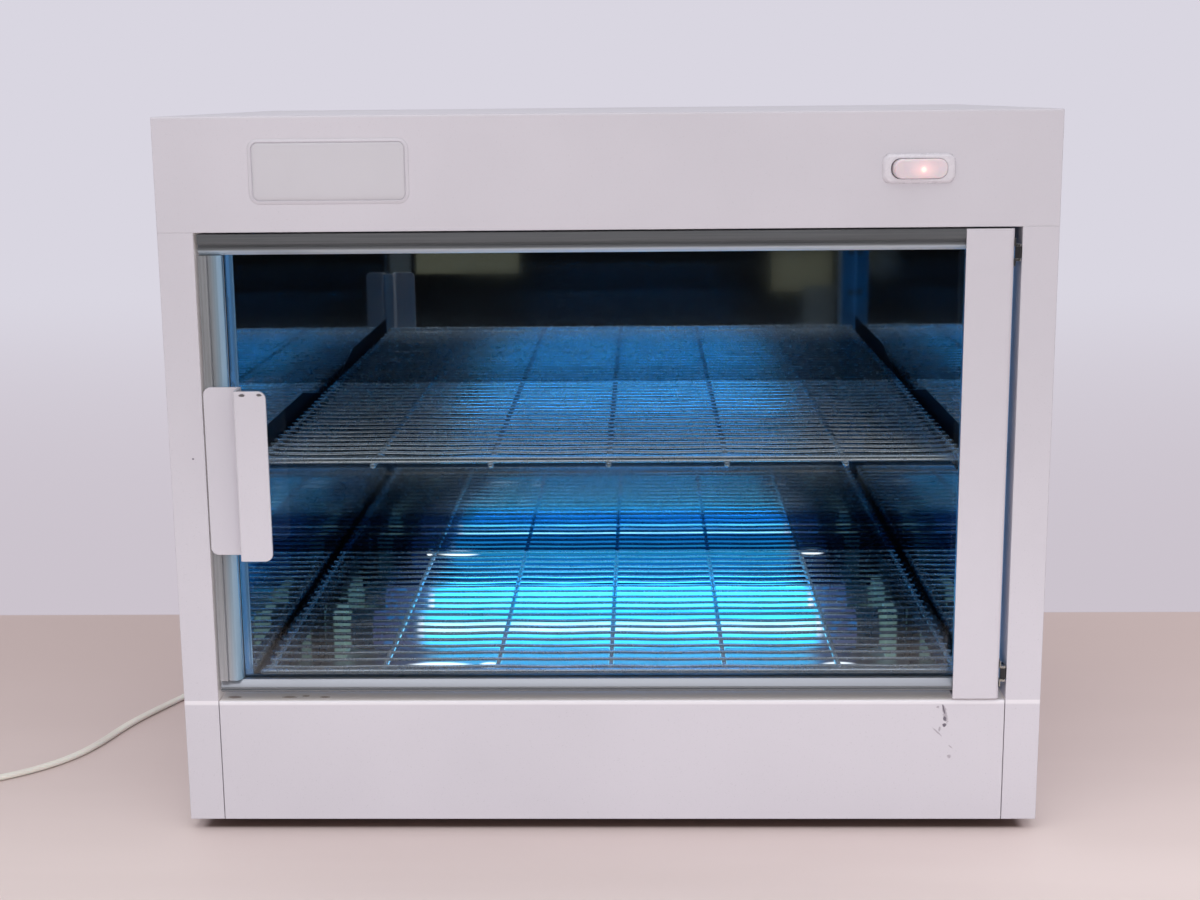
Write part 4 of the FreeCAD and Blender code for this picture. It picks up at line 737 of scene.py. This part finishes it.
lead = {
    "exit": (-196, 184.9, 22),
    "route": [(0, 19, 22), (-5, 37, 16), (-15, 53, 7), (-33, 66, 1.6), (-52, 65, 1.6), (-66, 51, 1.6),
              (-72, 27, 1.6), (-72, -4, 1.6), (-70, -37, 1.6), (-75, -73, 1.6), (-87, -108, 1.6), (-102, -140, 1.6),
              (-115, -172, 1.6), (-122, -203, 1.6), (-132, -229, 1.6), (-151, -252, 1.6), (-178, -270, 1.6),
              (-206, -285, 1.6)],
    "width": 5, "thickness": 2.8, "cores": 2.2, "turns": 7 + 82 / 360, "turnPoints": 14,
    "coil": (-404.6, -136.6), "coilRadius": 27.5, "coilStart": 118, "rest": 1.6, "layer": 3.1,
    # the turns at which the coil moves to another ring or layer, and the rings and layers
    "rings": ((0, 2, 3, 5, 6, 7.23), (1, -1, -1, 1, 1, 0)), "layers": ((2.1, 2.9, 5.1, 5.9), (0, 1, 1, 2)),
    # the last points before the plug: how far on and how high
    "plugAngle": 200, "plugReach": 20, "plugHeight": 7, "tail": ((9, 7.6), (20, 7), (25, 7)),
}


# Two level directions at an angle in degrees: out, (cos a, sin a), and a quarter turn on, (-sin a, cos a).
def heading(angle):
    turn = math.radians(angle)
    return np.array([math.cos(turn), math.sin(turn), 0]), np.array([-math.sin(turn), math.cos(turn), 0])


# The middle of the coil's section at an angle: coil centre + coil radius * out, at a height.
def coilEdge(angle, height):
    return np.array([*lead["coil"], height]) + lead["coilRadius"] * heading(angle)[0]


# Turns beside and on each other: radius = coil radius + width * ring, height = layer * rise, and
# point = centre + radius * (cos a, sin a), with ring and rise stepping between whole places turn by turn.
def coilPoints():
    turn = np.arange(0, lead["turns"] + 1e-6, 1 / lead["turnPoints"])
    ring, rise = np.interp(turn, *lead["rings"]), np.interp(turn, *lead["layers"])
    angle = np.radians(lead["coilStart"] + 360 * turn)
    radius = lead["coilRadius"] + lead["width"] * ring
    across, along = lead["coil"][0] + radius * np.cos(angle), lead["coil"][1] + radius * np.sin(angle)
    return np.stack([across, along, lead["rest"] + lead["layer"] * rise], -1)


# The lead's control points: its exit, the run on the floor, the coil and a straight end into the plug.
def leadPoints():
    start = np.array(lead["exit"], float)
    floorRun = np.array(lead["route"], float) + [start[0], start[1], 0]
    onward = heading(lead["plugAngle"])[1]
    tail = [coilEdge(lead["plugAngle"], height) + step * onward for step, height in lead["tail"]]
    return np.concatenate([start[None], floorRun, coilPoints(), tail])


# The line of a NURBS spline through its control points.
def splineLine(points):
    curve = bpy.data.curves.new("leadLine", "CURVE")
    curve.dimensions = "3D"
    curve.resolution_u = 7
    spline = curve.splines.new("NURBS")
    spline.points.add(len(points) - 1)
    spline.points.foreach_set("co", np.concatenate([points * mm, np.ones((len(points), 1))], axis=1).ravel())
    spline.order_u = 3
    spline.use_endpoint_u = True
    holder = addObject("leadLine", curve)
    bpy.context.view_layer.update()
    mesh = bpy.data.meshes.new_from_object(holder.evaluated_get(bpy.context.evaluated_depsgraph_get()))
    line = np.empty(len(mesh.vertices) * 3)
    mesh.vertices.foreach_get("co", line)
    bpy.data.objects.remove(holder)
    bpy.data.curves.remove(curve)
    bpy.data.meshes.remove(mesh)
    return line.reshape(-1, 3) / mm


# Two round cores side by side: point(a) = (+-cores / 2, 0) + thickness / 2 * (cos a, sin a).
def twinProfile(count=10):
    radius, middle = lead["thickness"] / 2, lead["cores"] / 2
    seam = math.acos(middle / radius)
    angle = np.linspace(seam - np.pi, np.pi - seam, count)
    right = np.stack([middle + radius * np.cos(angle), radius * np.sin(angle)], -1)
    return np.concatenate([right, -right])


# A moulded plug, drawn along its own axis: rounded boxes of stations (along, width, height, corner).
plug = {
    "stations": [(0, 6.6, 6, 2.9), (0.6, 7.6, 7, 3.4), (2.2, 7.8, 7.2, 3.5), (2.6, 6.8, 6.2, 3), (3.6, 6.9, 6.3, 3),
                 (4, 8.2, 7.4, 3.6), (5.6, 8.4, 7.6, 3.7), (6, 7.2, 6.6, 3.2), (7, 7.3, 6.7, 3.2), (7.4, 9, 8, 3.9),
                 (9.4, 10.4, 8.8, 4.2), (11, 13.5, 10.4, 4.8), (13.5, 18.5, 12.4, 5.2), (17, 21.6, 13.4, 4.6),
                 (22, 22.4, 13.6, 4.2), (30, 22.8, 13.8, 4), (36.2, 22.8, 13.8, 3.6), (37.5, 22, 13, 3.2),
                 (38, 20.6, 11.8, 2.8)],
}


# point = start + along * onward + width part * across + height part * up.
def plugRings():
    onward = heading(lead["plugAngle"])[1]
    start = coilEdge(lead["plugAngle"], lead["plugHeight"]) + lead["plugReach"] * onward
    rings = [roundedBox(width, height, corner) for _, width, height, corner in plug["stations"]]
    local = stacked(rings, "x", [station[0] for station in plug["stations"]])
    return start + local @ np.array([onward, np.cross((0, 0, 1), onward), (0, 0, 1)])


# A ribbed, tapered sleeve where the lead leaves the case: circles of stations (along, diameter).
relief = {
    "back": 160.9, "axis": (-196, 22), "count": 32,
    "stations": [(-0.6, 8), (0, 13), (0.4, 14), (1.6, 14), (2, 13.4), (2.4, 10.2), (4.6, 10), (5, 8.4), (6, 8.2),
                 (6.4, 9.6), (8.6, 9.3), (9, 7.8), (10, 7.7), (10.4, 9), (12.6, 8.7), (13, 7.2), (14, 7.1),
                 (14.4, 8.3), (16.6, 8), (17, 6.8), (18, 6.7), (18.4, 7.6), (22.6, 7.1), (23.6, 6.6), (24, 5.8)],
}


# point = axis + diameter / 2 * (cos a, sin a), at back + along.
def reliefRings():
    along, diameter = np.array(relief["stations"]).T
    angle = np.arange(relief["count"]) * 2 * np.pi / relief["count"]
    spokes = np.stack([np.cos(angle), np.sin(angle)], -1)
    return stacked(relief["axis"] + diameter[:, None, None] / 2 * spokes, "y", relief["back"] + along)


# A paper band round the coil where the lead leaves it: a thin oblong carried round the turns' section.
band = {"angle": 20, "size": (19.2, 9.8), "corner": 3, "count": 40, "middle": 5.3, "width": 7, "thick": 0.35}


# Ring i is the band's own section at point i of its loop: the loop and the loop grown by the band's thickness,
# each at the band's two edges, with point = middle + u * outward + v * up +- width / 2 * onward.
def bandRings():
    outward, onward = heading(band["angle"])
    middle = coilEdge(band["angle"], band["middle"])
    loop = roundedBox(*band["size"], band["corner"], count=band["count"])
    grown = loop + loop / np.linalg.norm(loop, axis=1)[:, None] * band["thick"]
    corners = [middle + line @ np.array([outward, (0, 0, 1)]) + side * band["width"] / 2 * onward
               for line, side in ((loop, -1), (loop, 1), (grown, 1), (grown, -1))]
    return np.stack(corners, 1)


def leadParts():
    route = splineLine(leadPoints())
    wire = ringPiece("mains_lead", alongPath(route, twinProfile()), "cabinet", ivory, "lead_ivory", 60)
    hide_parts("power_cord", "cord_coil")
    end = ringPiece("mains_plug", plugRings(), "cabinet", ivory, "lead_ivory", 50)
    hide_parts("plug")
    sleeve = ringPiece("lead_sleeve", reliefRings(), "cabinet", ivory, "lead_ivory", 40)
    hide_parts("cord_relief")
    tie = ringPiece("coil_band", bandRings(), "cabinet", ivory, "lead_ivory", 50, closed=True)


leadParts()

# Wire shelves: cross wires with domed ends below, a thicker front rim and thin wires welded on top

shelf = {
    "half": 193, "front": -124.5, "back": 140.5, "crossCount": 7, "crossPitch": 63.5, "cross": 3.2,
    "wireCount": 21, "wire": 2, "rim": 4, "sink": 0.4, "sag": 0.55, "stray": 0.35, "strayWaves": 1.5,
    "crossBays": 20, "rimBays": 60, "wireBays": 84,
    "levels": {"upper_shelf": 196.6, "lower_shelf": 77.3}, "seeds": {"upper_shelf": 5, "lower_shelf": 9},
}


# A thin wire hangs a little between the cross wires it is welded to: height = seat - sag * sin^2(pi x / pitch).
# It also strays forwards and back: y = row + stray * sin(pi * waves * x / half + row).
def shelfMesh(name):
    s = shelf
    chance = np.random.default_rng(s["seeds"][name])
    half, level = s["half"], s["levels"][name]
    seat = level + s["cross"] - s["sink"]

    places = barStations(s["back"] - s["front"], s["cross"], s["crossBays"])
    x = (np.arange(s["crossCount"]) - (s["crossCount"] - 1) / 2) * s["crossPitch"]
    cross = np.stack(np.broadcast_arrays(x[:, None], s["front"] + places[None], level + s["cross"] / 2), -1)

    rimY = s["front"] + s["rim"] / 2
    places = barStations(2 * half, s["rim"], s["rimBays"]) - half
    rim = np.stack(np.broadcast_arrays(places[None], rimY, seat + s["rim"] / 2), -1)

    places = barStations(2 * half, s["wire"], s["wireBays"]) - half
    pitch = (s["back"] - rimY - s["wire"] / 2) / s["wireCount"]
    y = rimY + pitch * np.arange(1, s["wireCount"] + 1)
    swing = np.sin(np.pi * (places - x[0]) / s["crossPitch"]) ** 2
    droop = chance.uniform(0.1, 1, (len(y), 1)) * s["sag"] * swing
    waves = np.sin(np.pi * places / half * s["strayWaves"] + y[:, None])
    stray = chance.uniform(-1, 1, (len(y), 1)) * s["stray"] * waves
    stray[-1] = 0  # the rearmost wire is straight
    wires = np.stack(np.broadcast_arrays(places[None], y[:, None] + stray, seat + s["wire"] / 2 - droop), -1)
    return joined(barMesh(cross, s["cross"], 12), barMesh(rim, s["rim"], 14), barMesh(wires, s["wire"], 8))


for name in shelf["levels"]:
    piece = meshPiece(name.replace("shelf", "wire_shelf"), *shelfMesh(name), name + "_body", wireChrome,
                      "shelf_chrome", 50)
    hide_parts(name)
print("shelves made")

# Door frame: drawn aluminium bars, an outer band, a fine groove and a slanted lip towards the glass

doorFrame = {
    "left": -209.9, "right": 206.4, "low": 77.5, "high": 324.6, "front": -147.1, "back": -133.1,
    "lightLeft": -198.4, "lightLow": 84.7, "lightHigh": 313.8, "step": 0.8, "slot": (-140.2, -136),
    "slotDepth": 4.6, "lip": 2.4, "lipBack": 3, "lowLip": 3.7, "lowBevel": (1.9, 4), "lowSlot": 5.8,
    "joint": 0.12, "ease": 0.22,
    # outer band, groove and the groove's depth
    "topBands": (5.1, 1.7, 0.9), "lowBands": (2.4, 0.5, 0.15), "stileBands": (4.3, 0.7, 0.9),
}


# The bar's section, as (across, depth): across runs from the outer edge, 0, to the light, at size. Bands are the
# widths of the band and the groove and the groove's depth. The lip slants back over its last stretch.
def barSection(size, bands, lip=doorFrame["lip"], bevel=(0, 0), slotDepth=doorFrame["slotDepth"]):
    front, back = doorFrame["front"], doorFrame["back"]
    inner = front + doorFrame["step"]
    band, groove, depth = bands
    edge = [(0, front + bevel[1]), (bevel[0], front)] if bevel[0] else [(0, front)]
    face = [(band, front), (band, inner + depth), (band + groove, inner + depth), (band + groove, inner),
            (size - lip, inner), (size, inner + doorFrame["lipBack"])]
    near, far = doorFrame["slot"]
    slot = [(size, near), (size - slotDepth, near), (size - slotDepth, far), (size, far)]
    return np.array([(0, back), *edge, *face, *slot, (size, back)], float)


def doorBars():
    d = doorFrame
    top = barSection(d["high"] - d["lightHigh"], d["topBands"])
    top = np.stack([top[:, 1], d["high"] - top[:, 0]], -1)
    low = barSection(d["lightLow"] - d["low"], d["lowBands"], d["lowLip"], d["lowBevel"], d["lowSlot"])
    low = np.stack([low[:, 1], d["low"] + low[:, 0]], -1)
    stile = barSection(d["lightLeft"] - d["left"], d["stileBands"])
    stile = np.stack([d["left"] + stile[:, 0], stile[:, 1]], -1)
    gap = d["joint"]
    for name, node, section, axis, ends, finish in (
            ("top_rail", "door_top_rail", top, "x", (d["left"], d["right"]), barAcross),
            ("bottom_rail", "door_bottom_rail", low, "x", (d["left"], d["right"]), barLow),
            ("handle_stile", "door_handle_stile", stile, "z", (d["lightLow"] + gap, d["lightHigh"] - gap), barUpright)):
        section = eased(section, d["ease"])
        piece = ringPiece(name, stacked([section, section], axis, ends), "door", finish, "frame_aluminium", 25)
        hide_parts(node)


doorBars()
print("door frame made")

# Switch: a bezel with rounded ends and a soft rim, and a crowned rocker, pressed in at the right

switch = {
    "centre": (158.2, 355), "front": -147.5, "count": 64,
    # depth, width, height, corner, from the body's back to the well's bottom
    "bezel": [(-127.5, 33, 13.6, 1), (-147.4, 33, 13.6, 1), (-147.5, 37, 15, 4.6), (-147.7, 36.9, 14.9, 4.6),
              (-148.5, 35.9, 13.9, 4.1), (-149.2, 34.9, 12.9, 3.7), (-149.45, 34.2, 12.2, 3.4),
              (-149.5, 33.4, 11.6, 3.1), (-149.5, 28.8, 10.6, 4.8), (-149.3, 28.4, 10.2, 4.65),
              (-148.8, 28.2, 10.05, 4.6), (-141, 28.2, 10.05, 4.6)],
    "pivot": -146.5, "tilt": 8, "rocker": (27.2, 9.9, 4.4), "crown": 5.8, "valley": 4.2, "skirt": 3,
    # the rings of the rocker's face: inset and drop below its curve
    "face": [(0, 1), (0.12, 0.55), (0.4, 0.22), (0.9, 0.04), (1.8, 0), (3.2, -0.05), (4.2, -0.08), (4.75, -0.09)],
    "leastCorner": 0.12,
}


# The rocker's rings: a flat skirt, then the outline shrunk by an inset, with
# depth = -(valley + (crown - valley) (x / half)^2) + drop, all turned by the tilt about the pivot.
def rockerRings():
    width, height, corner = switch["rocker"]
    valley, rise = switch["valley"], switch["crown"] - switch["valley"]
    rings = []
    for inset, drop in [(0, None), *switch["face"]]:
        rounding = max(switch["leastCorner"], corner - inset)
        x, z = roundedBox(width - 2 * inset, height - 2 * inset, rounding, count=switch["count"]).T
        bowl = np.full(len(x), switch["skirt"]) if drop is None else drop - valley - rise * (x / (width / 2)) ** 2
        rings.append(np.stack([x, bowl, z], -1))
    turn = Matrix.Rotation(math.radians(switch["tilt"]), 3, "Z")
    place = np.array([switch["centre"][0], switch["pivot"], switch["centre"][1]])
    return np.array(rings) @ np.array(turn).T + place


def switchParts():
    rings = [roundedBox(width, height, corner, switch["centre"], switch["count"])
             for _, width, height, corner in switch["bezel"]]
    bezel = ringPiece("switch_bezel", stacked(rings, "y", [row[0] for row in switch["bezel"]]), "cabinet",
                      whitePlastic, "switch_white", 40)
    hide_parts("switch_body")
    rocker = ringPiece("switch_rocker_lens", rockerRings(), "switch_rocker", lens, "rocker_lens", 50)
    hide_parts("rocker")


switchParts()
print("switch made")

# Bare nameplate: a soft rim raised round a shallow recess, and a domed label in it

plate = {
    "centre": (-140.65, 356.1), "size": (78.7, 29.8), "count": 96,
    # depth, growth, corner; the rim from its outside to the recess, then the label from its edge to its crown
    "rim": [(-147.3, 3.4, 5.6), (-147.52, 3.4, 5.6), (-147.7, 1.6, 4.6), (-148, 0.5, 4), (-148.05, 0, 3.7),
            (-147.95, -0.25, 3.5), (-147.4, -0.5, 3.4), (-147.3, -0.5, 3.4)],
    "label": [(-147.3, -0.7, 3.3), (-147.5, -0.8, 3.2), (-147.8, -1.2, 3), (-148, -2, 2.6), (-148.14, -3.6, 2),
              (-148.2, -6.5, 1.2), (-148.22, -14, 0.6)],
}


# Rounded boxes of the plate's size plus a growth, each at its depth.
def plateRings(rows):
    width, height = plate["size"]
    rings = [roundedBox(width + grow, height + grow, corner, plate["centre"], plate["count"])
             for _, grow, corner in rows]
    return stacked(rings, "y", [row[0] for row in rows])


def plateParts():
    ringPiece("nameplate_rim", plateRings(plate["rim"]), "cabinet", casePaint, "painted_case", 60, closed=True)
    label = ringPiece("nameplate_label", plateRings(plate["label"]), "cabinet", plateResin, "switch_white", 60)
    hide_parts("nameplate")


plateParts()
print("nameplate made")

# The lamps' light on what is round them: up from the tubes, and down off the polished walls

glow = {
    "colour": (0.03, 0.37, 1),
    # middle, how far up it aims, size and watts
    "sheets": {"fromTubes": ((6, 49, 57), 100, (236, 28), 0.16),
               "fromCeiling": ((5, 8, 313), -100, (200, 230), 0.07),
               "fromShelf": ((5, 8, 193.5), -100, (190, 220), 0.035)},
}

for name, ((x, y, z), aim, size, power) in glow["sheets"].items():
    areaLight(name, (x, y, z), (x, y, z + aim), size, power, colour=glow["colour"])
